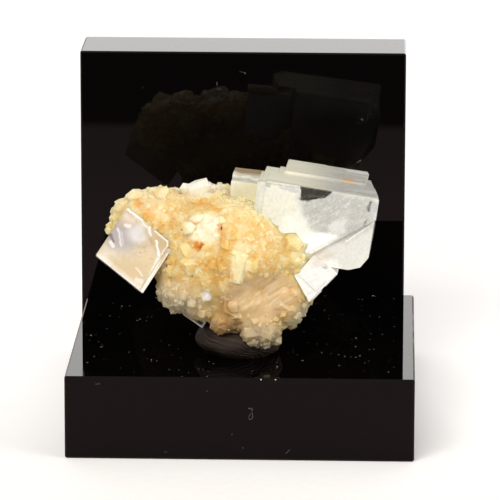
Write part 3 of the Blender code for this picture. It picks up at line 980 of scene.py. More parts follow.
def stroke_group(name):
    """A soft line between two places: 1 within half its width, fading to 0 at twice the width."""
    tree, wiring, given, result = new_group(
        name, "Mask", Place=ORIGIN, Start=ORIGIN, End=(1.0, 0.0, 0.0), Width=0.0001)
    line = wiring.vector("SUBTRACT", given["End"], given["Start"])
    away = wiring.vector("SUBTRACT", given["Place"], given["Start"])
    length = wiring.vector("DOT_PRODUCT", line, line)
    along = wiring.math("DIVIDE", wiring.vector("DOT_PRODUCT", away, line), length)
    along = wiring.math("MINIMUM", wiring.math("MAXIMUM", along, 0.0), 1.0)
    beside = wiring.vector("SUBTRACT", away, wiring.vector("MULTIPLY", line, along))
    beside = wiring.vector("LENGTH", wiring.vector("MULTIPLY", beside, (1.0, 0.1, 1.0)))
    wide = wiring.times(given["Width"], 2.0)
    wiring.plug(result, wiring.between(beside, wide, wiring.times(wide, 0.25)))
    return tree


def streak_group(name):
    """Streaks: noise of a scale in axes that are turned and drawn out."""
    tree, wiring, given, result = new_group(
        name, "Value", Place=ORIGIN, Turn=ORIGIN, Stretch=FULL, Scale=1000.0, Detail=2.0, Roughness=0.5)
    drawn = wiring.add("ShaderNodeMapping", {
        "Vector": given["Place"], "Rotation": given["Turn"], "Scale": given["Stretch"]},
        vector_type="TEXTURE")
    noise = wiring.add("ShaderNodeTexNoise", {
        "Vector": drawn.outputs["Vector"], "Scale": given["Scale"], "Detail": given["Detail"],
        "Roughness": given["Roughness"]})
    wiring.plug(result, noise.outputs["Fac"])
    return tree


def growth_line_group(name):
    """Faint growth lines along the x axis and shallow hollows, as a height."""
    tree, wiring, given, result = new_group(name, "Height", Place=ORIGIN)
    lines = wiring.add("ShaderNodeMapping", {"Vector": given["Place"], "Scale": (300.0, 2200.0, 2200.0)})
    fine = wiring.add("ShaderNodeTexNoise", {
        "Vector": lines.outputs["Vector"], "Scale": 1.0, "Detail": 2.0})
    wiring.plug(result, wiring.math("ADD", fine.outputs["Fac"], wiring.noise(given["Place"], 1.4, 3.0)))
    return tree


GROUPS = {
    "Spot": spot_group, "Specks": speck_group, "Stroke": stroke_group, "Streaks": streak_group,
    "Growth Lines": growth_line_group,
}


def new_material(name, values):
    """A material with a Principled shader whose plain values are set, its wiring and its place."""
    made = bpy.data.materials.new(name)
    made.use_nodes = True
    wiring = Wiring(made.node_tree, made.node_tree.nodes["Principled BSDF"])
    for label, value in values.items():
        wiring.feed(label, value)
    return made, wiring, wiring.add("ShaderNodeTexCoord").outputs["Object"]


QUARTZ_IOR = 1.544
FLUORITE_IOR = 1.434

# Paler and darker places on the quartz, and one painted glint: (centre, radii, edge, share, colour).
QUARTZ_TONES_AND_GLINT = (
    # paler places
    ((19.8, 6.3, 32.5), (2.9, 3.0, 2.1), 0.2, 0.90, (0.92, 0.85, 0.66)),
    ((25.0, 4.8, 27.6), (1.3, 1.8, 3.3), 0.3, 0.80, (0.88, 0.79, 0.50)),
    ((18.5, 15.2, 37.4), (3.4, 4.0, 2.2), 0.4, 0.90, (0.88, 0.86, 0.76)),
    ((9.5, 14.0, 35.5), (5.5, 5.0, 2.4), 0.5, 0.60, (0.84, 0.72, 0.46)),
    ((27.0, 11.0, 35.5), (5.0, 5.0, 2.5), 0.5, 0.75, (0.88, 0.75, 0.42)),
    ((34.5, 8.5, 28.9), (2.4, 3.0, 3.0), 0.4, 0.70, (0.90, 0.74, 0.42)),
    # painted glint on a small white crystal
    ((19.8, 6.8, 22.3), (0.9, 2.0, 0.8), 0.3, 1.0, (1.0, 0.96, 0.86)),
    # darker and greyer places
    ((28.0, 7.3, 22.4), (5.8, 3.0, 3.7), 0.15, 0.90, (0.66, 0.47, 0.25)),
    ((15.0, 9.0, 21.0), (4.8, 5.0, 3.0), 0.5, 0.80, (0.57, 0.48, 0.33)),
    ((27.5, 7.5, 15.9), (3.8, 4.0, 2.4), 0.4, 0.85, (0.50, 0.40, 0.26)),
    ((33.5, 11.5, 18.5), (2.2, 4.0, 2.2), 0.4, 0.85, (0.50, 0.43, 0.30)),
    ((22.5, 9.0, 16.8), (2.6, 4.0, 1.7), 0.5, 0.85, (0.36, 0.20, 0.08)),
)

QUARTZ_RUST = (
    ((18.9, 5.7, 30.0), (0.75, 1.8, 0.65), 0.5, 0.95, (0.68, 0.25, 0.02)),
    ((19.1, 5.7, 29.8), (0.30, 1.5, 0.28), 0.5, 0.85, (0.30, 0.09, 0.01)),
    ((18.6, 12.3, 34.8), (0.80, 2.0, 0.50), 0.6, 0.75, (0.78, 0.42, 0.09)),
    ((19.8, 11.0, 35.0), (0.90, 2.0, 0.45), 0.6, 0.75, (0.78, 0.42, 0.09)),
    ((21.2, 9.0, 35.0), (0.70, 2.0, 0.60), 0.6, 0.75, (0.80, 0.45, 0.10)),
    ((9.9, 11.7, 34.8), (0.70, 2.0, 0.60), 0.6, 0.80, (0.74, 0.36, 0.06)),
    ((11.4, 10.6, 33.5), (0.90, 2.0, 0.70), 0.6, 0.75, (0.74, 0.38, 0.08)),
    ((13.2, 9.3, 31.8), (0.70, 2.0, 0.60), 0.6, 0.60, (0.76, 0.42, 0.11)),
    ((22.2, 5.9, 32.2), (0.80, 1.8, 1.00), 0.6, 0.80, (0.72, 0.40, 0.08)),
    ((22.5, 5.5, 29.5), (0.60, 1.8, 2.40), 0.6, 0.80, (0.72, 0.42, 0.10)),
    ((21.1, 5.6, 27.4), (0.90, 1.8, 0.90), 0.6, 0.80, (0.70, 0.39, 0.08)),
    ((21.4, 6.4, 25.1), (0.80, 1.8, 1.40), 0.6, 0.65, (0.68, 0.40, 0.12)),
    ((22.7, 7.8, 20.0), (1.10, 2.0, 1.60), 0.6, 0.75, (0.48, 0.26, 0.08)),
    ((24.4, 7.0, 18.4), (0.80, 1.5, 0.50), 0.6, 0.85, (0.24, 0.10, 0.02)),
    ((15.0, 8.0, 27.1), (0.90, 2.5, 2.40), 0.6, 0.30, (0.68, 0.38, 0.10)),
)

QUARTZ_SPECKS = (
    ((16.45, 6.9, 32.1), (0.17, 0.9, 0.14), 0.3, 0.9, (0.05, 0.02, 0.01)),
    ((22.2, 6.0, 32.6), (0.12, 0.9, 0.30), 0.3, 0.9, (0.08, 0.03, 0.01)),
    ((14.2, 7.9, 26.5), (0.20, 0.9, 0.18), 0.3, 0.9, (0.10, 0.04, 0.01)),
    ((18.0, 6.6, 25.4), (0.10, 0.9, 0.22), 0.3, 0.8, (0.20, 0.10, 0.04)),
    ((27.9, 4.3, 32.6), (0.16, 0.9, 0.12), 0.3, 0.8, (0.16, 0.07, 0.02)),
)


def quartz_material(settings):
    """Cream quartz: light goes in and comes out again, with rust in its seams, painted shade towards the
    bottom and one painted glint.
    """
    made, wiring, place = new_material("cream_quartz", {
        "IOR": QUARTZ_IOR,
        "Subsurface Weight": 1.0,
        "Subsurface Radius": (1.0, 0.78, 0.45),
        "Subsurface Scale": 2.0 * MM,
        "Specular IOR Level": 0.35,
    })
    out = wiring.add("ShaderNodeAttribute", attribute_name="height").outputs["Fac"]
    broad = wiring.between(wiring.noise(place, 5.0, 3.0), 0.38, 0.64)
    fine = wiring.between(wiring.noise(place, 1.1, 4.0, 0.6), 0.40, 0.62)
    colour = wiring.mix(broad, settings.pale, settings.cream)
    # crystals grown into each other: cells of uneven tone with amber seams
    wavy = wiring.ragged(place, 1.5, 0.9)
    for spacing, share in ((2.3, 0.75), (0.9, 0.4)):
        inputs = {"Vector": wavy, "Scale": 1.0 / (spacing * MM)}
        cells, edges = (
            wiring.add("ShaderNodeTexVoronoi", inputs, feature=feature)
            for feature in ("F1", "DISTANCE_TO_EDGE"))
        tone = wiring.add("ShaderNodeSeparateColor", {"Color": cells.outputs["Color"]}).outputs["Red"]
        colour = wiring.mix(wiring.times(wiring.between(tone, 0.3, 1.0), share), colour, settings.light)
        line = wiring.between(edges.outputs["Distance"], 0.02, 0.16, share, 0.0)
        line = wiring.times(line, wiring.math("MULTIPLY_ADD", fine, 0.8, 0.2))
        colour = wiring.mix(line, colour, settings.amber)
    seam = wiring.times(wiring.between(out, 0.05, 0.75, 0.7, 0.0), fine)
    colour = wiring.mix(seam, colour, settings.amber)
    # painted shade: the quartz is darkened towards the bottom of the matrix
    low = wiring.between(wiring.split(place)["Z"], 15.0 * MM, 27.0 * MM, 0.75, 0.0)
    colour = wiring.mix(low, colour, settings.low_shade)
    bent = wiring.ragged(place, 1.6, 0.6)
    coat = wiring.painted(bent, (colour, 0.0), QUARTZ_TONES_AND_GLINT)
    seams = wiring.between(out, 0.1, 0.9, 1.0, 0.35)
    colour, _ = wiring.painted(wiring.ragged(place, 0.8, 0.9), coat, QUARTZ_RUST, seams)
    # growth streaks drawn out along the smooth face
    lines = wiring.between(wiring.streaks(place, -0.66, (8.0, 3.0, 1.0), 0.45, 4.0, 0.6), 0.42, 0.62)
    lines = wiring.times(lines, wiring.spot(bent, *SMOOTH_BARE, 0.3))
    colour = wiring.mix(wiring.times(lines, 0.7), colour, (0.84, 0.68, 0.44))
    veins = wiring.between(wiring.noise(bent, 2.6, 5.0, 0.65), 0.60, 0.70)
    colour = wiring.mix(wiring.times(veins, 0.5), colour, settings.rust)
    colour, _ = wiring.painted(place, (colour, 0.0), QUARTZ_SPECKS)
    black = wiring.times(wiring.specks(place, 2.4, 0.07, 0.08), 0.8)
    wiring.feed("Base Color", wiring.mix(black, colour, (0.04, 0.02, 0.01)))
    wiring.feed("Roughness", wiring.between(wiring.noise(place, 0.8), 0.35, 0.65, 0.25, 0.50))
    grain = wiring.math("ADD", wiring.noise(place, 0.35, 3.0), wiring.noise(place, 0.12))
    wiring.bump(wiring.math("MULTIPLY_ADD", lines, 1.5, grain), 0.35, 0.05)
    return made


def clear_quartz_material():
    """Clear quartz, a little milky, with a warm tint that deepens with thickness."""
    made, wiring, place = new_material("clear_quartz", {
        "Base Color": (0.84, 0.69, 0.43, 1.0),
        "Transmission Weight": 0.30,
        "IOR": QUARTZ_IOR,
        "Subsurface Weight": 0.8,
        "Subsurface Radius": (1.0, 0.9, 0.7),
        "Subsurface Scale": 0.8 * MM,
    })
    wiring.feed("Roughness", wiring.between(wiring.noise(place, 0.9), 0.35, 0.65, 0.10, 0.5))
    wiring.bump(wiring.noise(place, 0.2, 3.0), 0.3, 0.05)
    wiring.fill((0.86, 0.74, 0.52), 60.0)
    return made


def fluorite_material(name, tint, density):
    """Clear fluorite, with faint growth lines on its faces and a tint that deepens with thickness."""
    made, wiring, place = new_material(name, {
        "Base Color": (0.98, 0.98, 0.97, 1.0),
        "Transmission Weight": 1.0,
        "IOR": FLUORITE_IOR,
    })
    wiring.bump(wiring.group("Growth Lines", place=place), 0.25, 0.06)
    wiring.feed("Roughness", wiring.between(wiring.noise(place, 2.0), 0.4, 0.7, 0.0, 0.12))
    wiring.fill(tint, density)
    return made


# Milky zones of the right cluster, seen from the front in the large crystal's axes. Patches are
# (outline, edge, share, colour, value), strokes (start, end, width, share, colour, value) and spots,
# in the object's axes, (centre, radii, edge, share, colour, value). The value is the film's Alpha.
BEAM = (
    ((6.0, -6.2), (6.9, -9.7), (11.4, -6.3), (11.0, -4.6), (8.0, -6.2)), 0.70, 1.0, (1.0, 1.0, 0.95), 1.0)
DARK_WINDOW = (
    ((5.0, 0.3), (5.4, -1.75), (6.1, -1.8), (8.7, -0.85), (9.5, -0.1), (9.5, 0.3)),
    0.25, 0.85, (0.30, 0.30, 0.30), 0.0)
WHITE_CLOUD = ((33.2, 9.0, 31.4), (2.6, 3.0, 2.2), 0.6, 0.7, (0.97, 0.97, 0.88))
CLUSTER_PATCHES = (
    # grey clear zone, the paler lump in it, and the beam and a dull strip along its lower edge
    (((4.8, 0.2), (5.0, -2.2), (6.3, -5.0), (7.6, -6.5), (13.0, -6.6), (15.9, -4.4), (16.0, 0.2)),
     1.8, 1.0, (0.66, 0.65, 0.60), 0.70),
    (((10.2, -3.9), (9.6, -5.4), (10.9, -6.2), (12.3, -5.6), (12.3, -3.9)),
     0.8, 0.8, (0.86, 0.85, 0.79), 0.90),
    BEAM,
    (((10.0, -7.0), (10.6, -7.8), (13.0, -7.2), (13.2, -5.9), (11.2, -6.1)),
     0.8, 0.6, (0.70, 0.64, 0.55), 0.85),
    # the dark window under the front edge, and the strips beside it
    DARK_WINDOW,
    (((2.0, -0.1), (2.2, -0.6), (4.6, -0.75), (4.8, -0.15)), 0.3, 0.7, (0.66, 0.66, 0.66), 0.75),
    (((0.0, -0.05), (0.0, -0.45), (0.7, -0.5), (0.8, -0.1)), 0.25, 0.7, (0.50, 0.49, 0.42), 0.80),
    (((15.0, -0.4), (14.95, -1.8), (15.25, -1.9), (15.45, -0.5)), 0.3, 0.8, (0.25, 0.25, 0.25), 0.25),
    (((14.75, -3.1), (14.6, -4.3), (14.85, -4.4), (15.15, -3.2)), 0.3, 0.7, (0.25, 0.25, 0.25), 0.35),
    (((15.6, -0.4), (15.5, -3.0), (16.0, -3.0), (16.1, -0.4)), 0.3, 0.8, (0.62, 0.62, 0.68), 0.80),
)
CLUSTER_STROKES = (
    ((12.6, -6.9), (16.3, -3.4), 0.10, 0.8, (0.97, 0.97, 0.93), 1.0),
    ((6.9, -9.7), (11.2, -6.35), 0.07, 0.7, (0.62, 0.58, 0.50), 0.9),
    ((0.1, -0.12), (4.9, -0.10), 0.06, 0.6, (0.50, 0.49, 0.42), 0.9),
    ((6.3, -4.6), (8.6, -3.2), 0.05, 0.5, (0.85, 0.85, 0.80), 0.9),
    ((7.2, -5.2), (9.3, -3.9), 0.04, 0.5, (0.85, 0.85, 0.80), 0.9),
)
CLUSTER_SPOTS = (
    ((30.2, 9.0, 35.2), (2.8, 3.0, 3.0), 0.5, 0.9, (0.85, 0.83, 0.66)),
    WHITE_CLOUD,
    ((39.8, 8.5, 34.5), (0.75, 1.2, 0.48), 0.6, 0.75, (0.84, 0.60, 0.38), 0.97),
    ((40.5, 9.0, 29.0), (4.2, 3.0, 3.2), 0.4, 0.95, (0.78, 0.78, 0.71), 0.95),
    ((36.5, 8.8, 24.0), (3.6, 4.0, 3.4), 0.3, 1.0, (0.98, 0.97, 0.92), 1.0),
    ((36.8, 8.7, 28.2), (1.5, 1.5, 0.8), 0.6, 0.7, (0.74, 0.58, 0.44), 0.90),
    ((36.0, 8.7, 27.0), (1.2, 1.5, 0.7), 0.6, 0.6, (0.80, 0.68, 0.56), 0.92),
    ((37.0, 8.6, 26.4), (0.45, 1.0, 0.28), 0.6, 0.7, (0.40, 0.38, 0.36), 0.90),
    ((26.5, 14.2, 35.5), (4.0, 1.6, 2.6), 0.4, 0.9, (0.80, 0.75, 0.54), 0.97),
    ((26.5, 16.0, 38.3), (4.0, 2.4, 0.8), 0.2, 1.0, (0.60, 0.56, 0.46), 0.95),
    ((26.5, 20.2, 38.5), (4.0, 2.4, 1.2), 0.2, 1.0, (0.46, 0.33, 0.19), 0.95),
    # clearer towards the back
    ((38.0, 21.0, 29.5), (9.5, 8.5, 7.2), 0.3, 0.95, None, 0.15),
)

# Milky zones of the left cube, and white lines along its edges that are painted reflections of light
# inside it: strokes seen from the front in its own axes, and spots.
LEFT_STROKES = (
    # white lines along the lower-left and lower-right edges: painted reflections
    ((-4.0, -4.0), (4.2, -4.0), 0.45, 0.40, (0.97, 0.93, 0.86), 1.0),
    ((-4.1, -4.05), (4.2, -4.05), 0.13, 0.9, (0.99, 0.98, 0.95), 1.0),
    ((4.2, -3.6), (3.5, 1.1), 0.28, 0.8, (0.93, 0.92, 0.84), 1.0),
    ((4.25, -4.0), (4.25, 4.0), 0.10, 0.8, (0.98, 0.96, 0.90), 1.0),
    # white line along the upper edge: painted reflection
    ((-4.2, 4.0), (-1.5, 4.05), 0.11, 0.95, (0.97, 0.98, 0.97), 1.0),
    ((-1.4, 3.75), (0.0, 3.7), 0.05, 0.9, (0.97, 0.97, 0.96), 1.0),
    ((0.0, 3.6), (-0.1, 5.2), 0.08, 0.9, (0.97, 0.98, 0.97), 1.0),
    ((0.0, 3.7), (0.6, 3.2), 0.16, 0.7, (0.96, 0.95, 0.93), 1.0),
    # white line along the upper edge: painted reflection
    ((0.9, 4.0), (3.1, 4.0), 0.09, 0.8, (0.96, 0.95, 0.90), 1.0),
    ((3.1, 4.0), (3.6, 3.5), 0.10, 0.8, (0.96, 0.95, 0.90), 1.0),
    ((3.6, 3.5), (3.5, 2.0), 0.12, 0.7, (0.95, 0.94, 0.88), 1.0),
    ((1.8, 3.0), (3.3, 1.6), 0.14, 0.85, (0.97, 0.97, 0.95), 1.0),
    ((-3.7, 0.9), (-2.1, -0.7), 0.13, 0.55, (0.96, 0.92, 0.95), 1.0),
    ((-3.2, 0.9), (-1.9, -0.3), 0.10, 0.6, (0.74, 0.68, 0.74), 0.95),
    ((-4.2, -0.45), (-3.4, -0.95), 0.17, 0.95, (0.20, 0.16, 0.18), 0.9),
    ((-3.6, -1.3), (-3.0, -1.5), 0.20, 0.7, (0.97, 0.92, 0.92), 1.0),
    ((-3.1, 2.0), (-2.6, 2.2), 0.22, 0.7, (0.97, 0.88, 0.78), 1.0),
    ((2.5, -3.1), (3.1, -2.9), 0.24, 0.6, (0.95, 0.88, 0.82), 1.0),
    ((0.9, 2.6), (1.5, 2.3), 0.18, 0.6, (0.62, 0.42, 0.24)),
    ((1.5, -1.9), (2.8, -2.1), 0.10, 0.6, (0.97, 0.84, 0.72), 1.0),
)
LEFT_SPOTS = (
    ((7.9, 7.7, 30.9), (2.2, 2.0, 2.1), 0.5, 0.90, (0.52, 0.48, 0.48), 0.80),
    ((10.0, 7.7, 31.2), (1.3, 1.5, 1.2), 0.6, 0.85, (0.93, 0.90, 0.88)),
    ((8.9, 7.9, 33.2), (1.2, 2.0, 0.9), 0.5, 0.5, (0.90, 0.72, 0.58)),
    ((13.6, 7.4, 30.5), (1.6, 2.0, 1.6), 0.6, 0.8, (0.74, 0.55, 0.30), 0.80),
    ((12.0, 6.9, 27.4), (2.3, 2.0, 2.0), 0.6, 0.7, (0.78, 0.60, 0.36), 0.90),
    ((8.4, 7.0, 25.9), (3.0, 2.0, 2.0), 0.6, 0.90, (0.69, 0.53, 0.31), 0.95),
)
LEFT_CRUMBS = ((11.8, 7.0, 27.6), (2.6, 2.0, 2.2))

# An orange spot on the large crystal's top, a painted reflection of the orange inclusion inside it, and a
# pale spot.
TOP_REFLECTION_AND_PALE_SPOT = (
    ((40.2, 17.2, 37.3), (1.0, 1.6, 0.8), 0.4, 0.8, (0.72, 0.50, 0.30)),
    ((42.0, 23.5, 37.3), (2.6, 1.2, 0.8), 0.5, 0.8, (0.86, 0.85, 0.80)),
)


def cluster_material():
    """Milky fluorite of the right cluster: white zones, a grey clear zone and a banded top with an orange
    painted reflection.
    """
    made, wiring, place = new_material("milky_fluorite_and_reflection", {"Roughness": 0.12, "IOR": FLUORITE_IOR})
    own = wiring.in_axes(place, tilted_frame(LARGE_CORNER, LARGE_YAW, LARGE_ROLL))
    bent = wiring.ragged(own, 1.2, 0.70)
    across, depth, height = wiring.split(own)
    broad = wiring.between(wiring.noise(place, 4.0, 4.0, 0.6), 0.36, 0.64)
    fine = wiring.between(wiring.noise(place, 0.45, 5.0, 0.7), 0.38, 0.62)
    colour = wiring.mix(broad, (0.93, 0.93, 0.83), (0.84, 0.84, 0.74))
    spots = wiring.ragged(place, 1.6, 0.5)
    coat = (colour, wiring.math("MULTIPLY_ADD", broad, -0.05, 1.0))
    milky = wiring.painted(spots, coat, CLUSTER_SPOTS)
    coat = wiring.patched(bent, milky, CLUSTER_PATCHES)
    # pale wisps drawn out along the diagonal
    wisps = wiring.between(wiring.streaks(bent, -0.62, (3.0, 1.0, 0.6), 0.9, 6.0, 0.75), 0.38, 0.74)
    wisp = wiring.mix(broad, (0.88, 0.88, 0.83), (0.80, 0.79, 0.74))
    coat = wiring.laid(wisps, 0.7, coat, (wisp, 0.90))
    grain = wiring.between(wiring.noise(place, 0.30, 5.0, 0.8), 0.50, 0.66)
    coat = wiring.laid(grain, 0.45, coat, ((0.95, 0.95, 0.90), 0.95))
    # the thin strokes, the beam, the dark window and the white cloud lie over the wisps
    thin = wiring.ragged(own, 0.6, 0.12)
    coat = wiring.stroked(thin, coat, CLUSTER_STROKES)
    coat = wiring.patched(thin, coat, (BEAM, DARK_WINDOW))
    colour, value = wiring.painted(spots, coat, (WHITE_CLOUD,))
    colour = wiring.mix(wiring.times(fine, 0.10), colour, (0.42, 0.42, 0.40))
    front = wiring.between(depth, 1.2 * MM, 0.9 * MM)
    coat = wiring.laid(front, 1.0, milky, (colour, value))
    # top faces: drawn-out bands along the front edge, cream on the left and grey on the right
    drawn = wiring.add("ShaderNodeMapping", {"Vector": own, "Scale": (90.0, 900.0, 90.0)})
    bands = wiring.add("ShaderNodeTexNoise", {
        "Vector": drawn.outputs["Vector"], "Scale": 1.0, "Detail": 3.0, "Roughness": 0.6}).outputs["Fac"]
    shift = wiring.math("MULTIPLY_ADD", wiring.math("SUBTRACT", bands, 0.5), 9.0 * MM, across)
    tone = wiring.mix(wiring.between(shift, 3.0 * MM, 11.0 * MM), (0.93, 0.89, 0.68), (0.48, 0.47, 0.44))
    tone = wiring.mix(wiring.between(bands, 0.46, 0.66, 0.0, 0.6), tone, (0.84, 0.82, 0.72))
    tone = wiring.mix(wiring.times(wisps, 0.5), tone, (0.80, 0.79, 0.72))
    edge = wiring.math("SUBTRACT", depth, wiring.times(across, -0.09))
    tone = wiring.mix(wiring.between(edge, 1.8 * MM, 1.4 * MM, 0.0, 0.8), tone, (0.72, 0.68, 0.50))
    # the orange spot on the top is a painted reflection of the orange inclusion
    tone, _ = wiring.painted(spots, (tone, 0.0), TOP_REFLECTION_AND_PALE_SPOT)
    facing = wiring.add("ShaderNodeNewGeometry").outputs["Normal"]
    upward = wiring.between(wiring.split(facing)["Z"], 0.7, 0.9)
    upward = wiring.math("MAXIMUM", upward, wiring.between(depth, 1.2 * MM, 1.5 * MM))
    top = wiring.times(upward, wiring.between(height, -0.45 * MM, -0.25 * MM))
    top = wiring.times(top, wiring.between(across, -1.6 * MM, -1.3 * MM))
    colour, value = wiring.laid(top, 1.0, coat, (tone, 0.93))
    wiring.feed("Base Color", colour)
    wiring.feed("Alpha", wiring.times(value, wiring.math("MULTIPLY_ADD", fine, -0.04, 1.0)))
    wiring.bump(wiring.group("Growth Lines", place=own), 0.25, 0.06)
    return made


def left_material():
    """Peach and milky fluorite of the left cube, with white rims along its edges that are painted
    reflections, streaks and tan fragments.
    """
    made, wiring, place = new_material("peach_milk_and_reflections", {"Roughness": 0.12, "IOR": FLUORITE_IOR})
    own = wiring.in_axes(place, facing_frame(LEFT_MIDDLE, LEFT_FACING, LEFT_TURNS))
    broad = wiring.between(wiring.noise(place, 3.0, 4.0, 0.6), 0.36, 0.64)
    fine = wiring.between(wiring.noise(place, 0.5, 5.0, 0.7), 0.38, 0.62)
    colour = wiring.mix(broad, (0.84, 0.74, 0.58), (0.76, 0.62, 0.42))
    spots = wiring.ragged(place, 1.2, 0.4)
    coat = (colour, wiring.math("MULTIPLY_ADD", broad, -0.16, 0.90))
    colour, value = wiring.painted(spots, coat, LEFT_SPOTS)
    crumbs = wiring.between(wiring.noise(place, 0.55, 4.0, 0.65), 0.60, 0.68)
    crumbs = wiring.times(crumbs, wiring.spot(spots, *LEFT_CRUMBS, 0.6))
    colour = wiring.mix(crumbs, colour, (0.66, 0.42, 0.18))
    bent = wiring.ragged(own, 0.7, 0.26)
    colour, value = wiring.stroked(bent, (colour, value), LEFT_STROKES)
    wiring.feed("Base Color", wiring.mix(wiring.times(fine, 0.10), colour, (0.60, 0.52, 0.42)))
    wiring.feed("Alpha", value)
    wiring.bump(wiring.group("Growth Lines", place=own), 0.10, 0.06)
    return made


def veil_material(name, colour, share):
    """Wispy veils inside fluorite: thin drawn-out streaks that let most of the light through."""
    made, wiring, place = new_material(name, {
        "Base Color": (*colour, 1.0), "Roughness": 0.6, "IOR": FLUORITE_IOR})
    bent = wiring.ragged(place, 3.0, 0.8)
    wisps = wiring.between(wiring.streaks(bent, -0.6, (1.8, 1.8, 0.8), 1.1, 5.0, 0.65), 0.46, 0.72)
    wiring.feed("Alpha", wiring.times(wisps, share))
    return made


def edge_highlight_material(name, matrix, block, width):
    """Painted highlights along the edges of a crystal: white where a place of a face lies near another
    face.
    """
    made, wiring, place = new_material(name, {
        "Base Color": (0.90, 0.88, 0.84, 1.0), "Roughness": 0.3, "IOR": FLUORITE_IOR})
    gaps = []
    for own, low, high in zip(wiring.split(wiring.in_axes(place, matrix)), *block):
        middle, half = (low + high) / 2 * MM, (high - low) / 2 * MM
        away = wiring.math("ABSOLUTE", wiring.math("SUBTRACT", own, middle))
        gaps.append(wiring.math("SUBTRACT", half, away))
    least, most = (wiring.math(end, gaps[0], gaps[1]) for end in ("MINIMUM", "MAXIMUM"))
    second = wiring.math("MAXIMUM", least, wiring.math("MINIMUM", most, gaps[2]))
    uneven = wiring.math("MULTIPLY_ADD", wiring.noise(place, 0.6), 0.08 * MM, second)
    wiring.feed("Alpha", wiring.between(uneven, width * MM, width * 0.6 * MM))
    return made


def putty_material(settings):
    """Dark grey putty, dull, with fine finger marks and a little dust."""
    made, wiring, place = new_material("grey_putty", {"IOR": 1.5, "Specular IOR Level": 0.25})
    paler, crest = (tuple(value * factor for value in settings.colour) for factor in (1.7, 3.2))
    tone = wiring.between(wiring.noise(place, 1.5, 4.0), 0.35, 0.65)
    dust = wiring.times(wiring.specks(place, 0.5, 0.12, 0.15), 0.5)
    colour = wiring.mix(dust, wiring.mix(tone, settings.colour, paler), (0.35, 0.33, 0.31))
    lines = wiring.streaks(wiring.ragged(place, 5.0, 1.6), 0.25, (16.0, 16.0, 1.0), 0.34)
    crests = wiring.times(wiring.between(lines, 0.50, 0.66), 0.7)
    wiring.feed("Base Color", wiring.mix(crests, colour, crest))
    wiring.feed("Roughness", wiring.between(tone, 0.0, 1.0, 0.6, 0.85))
    wiring.bump(lines, 1.0, 0.30)
    return made


# Fibres and scratches on the fronts of the base and of the panel, in x and z: (start, end, width,
# share).
MARK_TONE = (0.12, 0.10, 0.095)
BASE_MARKS = (
    ((26.37, 7.71), (26.58, 7.68), 0.05, 0.9),
    ((26.80, 7.70), (26.82, 7.40), 0.05, 0.8),
    ((26.82, 7.15), (26.94, 6.50), 0.04, 0.6),
    ((26.94, 6.50), (26.80, 6.17), 0.04, 0.5),
    ((26.80, 6.17), (26.51, 6.05), 0.04, 0.6),
    ((26.51, 6.05), (26.30, 6.30), 0.04, 0.5),
    ((26.35, 6.45), (26.62, 6.90), 0.04, 0.5),
    ((20.39, 10.20), (20.42, 10.20), 0.05, 0.6),
    ((23.96, 3.90), (23.96, 3.74), 0.05, 0.4),
    ((25.50, 1.84), (25.54, 1.84), 0.05, 0.8),
    ((31.70, 1.10), (32.20, 1.60), 0.04, 0.6),
    ((14.30, 1.10), (14.60, 1.10), 0.04, 0.4),
    ((4.50, 11.05), (5.10, 11.12), 0.06, 0.3),
)
PANEL_MARKS = (
    ((23.25, 46.80), (24.00, 46.58), 0.04, 0.35),
    ((24.02, 46.60), (24.08, 46.48), 0.06, 1.0),
    ((19.76, 45.10), (19.78, 44.68), 0.05, 0.7),
    ((19.82, 44.06), (20.40, 44.02), 0.04, 0.45),
    ((8.46, 44.22), (8.48, 44.16), 0.05, 0.3),
)


def acrylic_material(settings):
    """Polished black acrylic with dust lying on it, faint wipe marks and a few fine scratches."""
    made, wiring, place = new_material("black_acrylic", {"IOR": 1.27})
    facing = wiring.add("ShaderNodeNewGeometry").outputs["Normal"]
    lying = wiring.between(wiring.split(facing)["Z"], 0.3, 0.9)
    patches = wiring.between(wiring.noise(place, 9.0, 3.0), 0.42, 0.62, 0.25, 1.0)
    small = wiring.specks(place, 0.7, 0.17, settings.dust)
    large = wiring.specks(place, 2.3, 0.085, wiring.times(settings.dust, 1.8))
    dust = wiring.times(wiring.times(wiring.math("MAXIMUM", small, large), lying), patches)
    coat = (wiring.mix(dust, settings.colour, (0.72, 0.69, 0.66)), 0.0)
    for depth, marks in ((0.0, BASE_MARKS), (PANEL_FRONT, PANEL_MARKS)):
        front = wiring.vector("SUBTRACT", place, tuple(at((0.0, depth, 0.0))))
        coat = wiring.stroked(front, coat, [(*mark, MARK_TONE) for mark in marks])
    wiring.feed("Base Color", coat[0])
    smear = wiring.between(wiring.noise(place, 6.0, 4.0), 0.45, 0.75, 0.015, 0.07)
    wiring.feed("Roughness", wiring.math("MULTIPLY_ADD", dust, 0.6, smear))
    return made


class QuartzSettings(bpy.types.PropertyGroup):
    """Sizes and colours of the quartz."""

    seed: IntProperty(
        name="Seed", description="Which random arrangement of crystals is grown", default=7)
    light: FloatVectorProperty(
        name="Light", description="Colour of the crystals that stand out palest", subtype="COLOR",
        default=(0.85, 0.74, 0.47))
    pale: FloatVectorProperty(
        name="Pale", description="Colour of the pale quartz", subtype="COLOR",
        default=(0.79, 0.65, 0.33))
    cream: FloatVectorProperty(
        name="Cream", description="Main colour of the quartz", subtype="COLOR",
        default=(0.73, 0.54, 0.22))
    amber: FloatVectorProperty(
        name="Amber", description="Colour of the deeper quartz", subtype="COLOR",
        default=(0.76, 0.48, 0.13))
    # the colour that the quartz is darkened to towards the bottom, as painted shade
    low_shade: FloatVectorProperty(
        name="Deep", description="Colour of the quartz low on the matrix", subtype="COLOR",
        default=(0.62, 0.45, 0.23))
    rust: FloatVectorProperty(
        name="Rust", description="Colour of the iron stain in the seams", subtype="COLOR",
        default=(0.70, 0.38, 0.08))


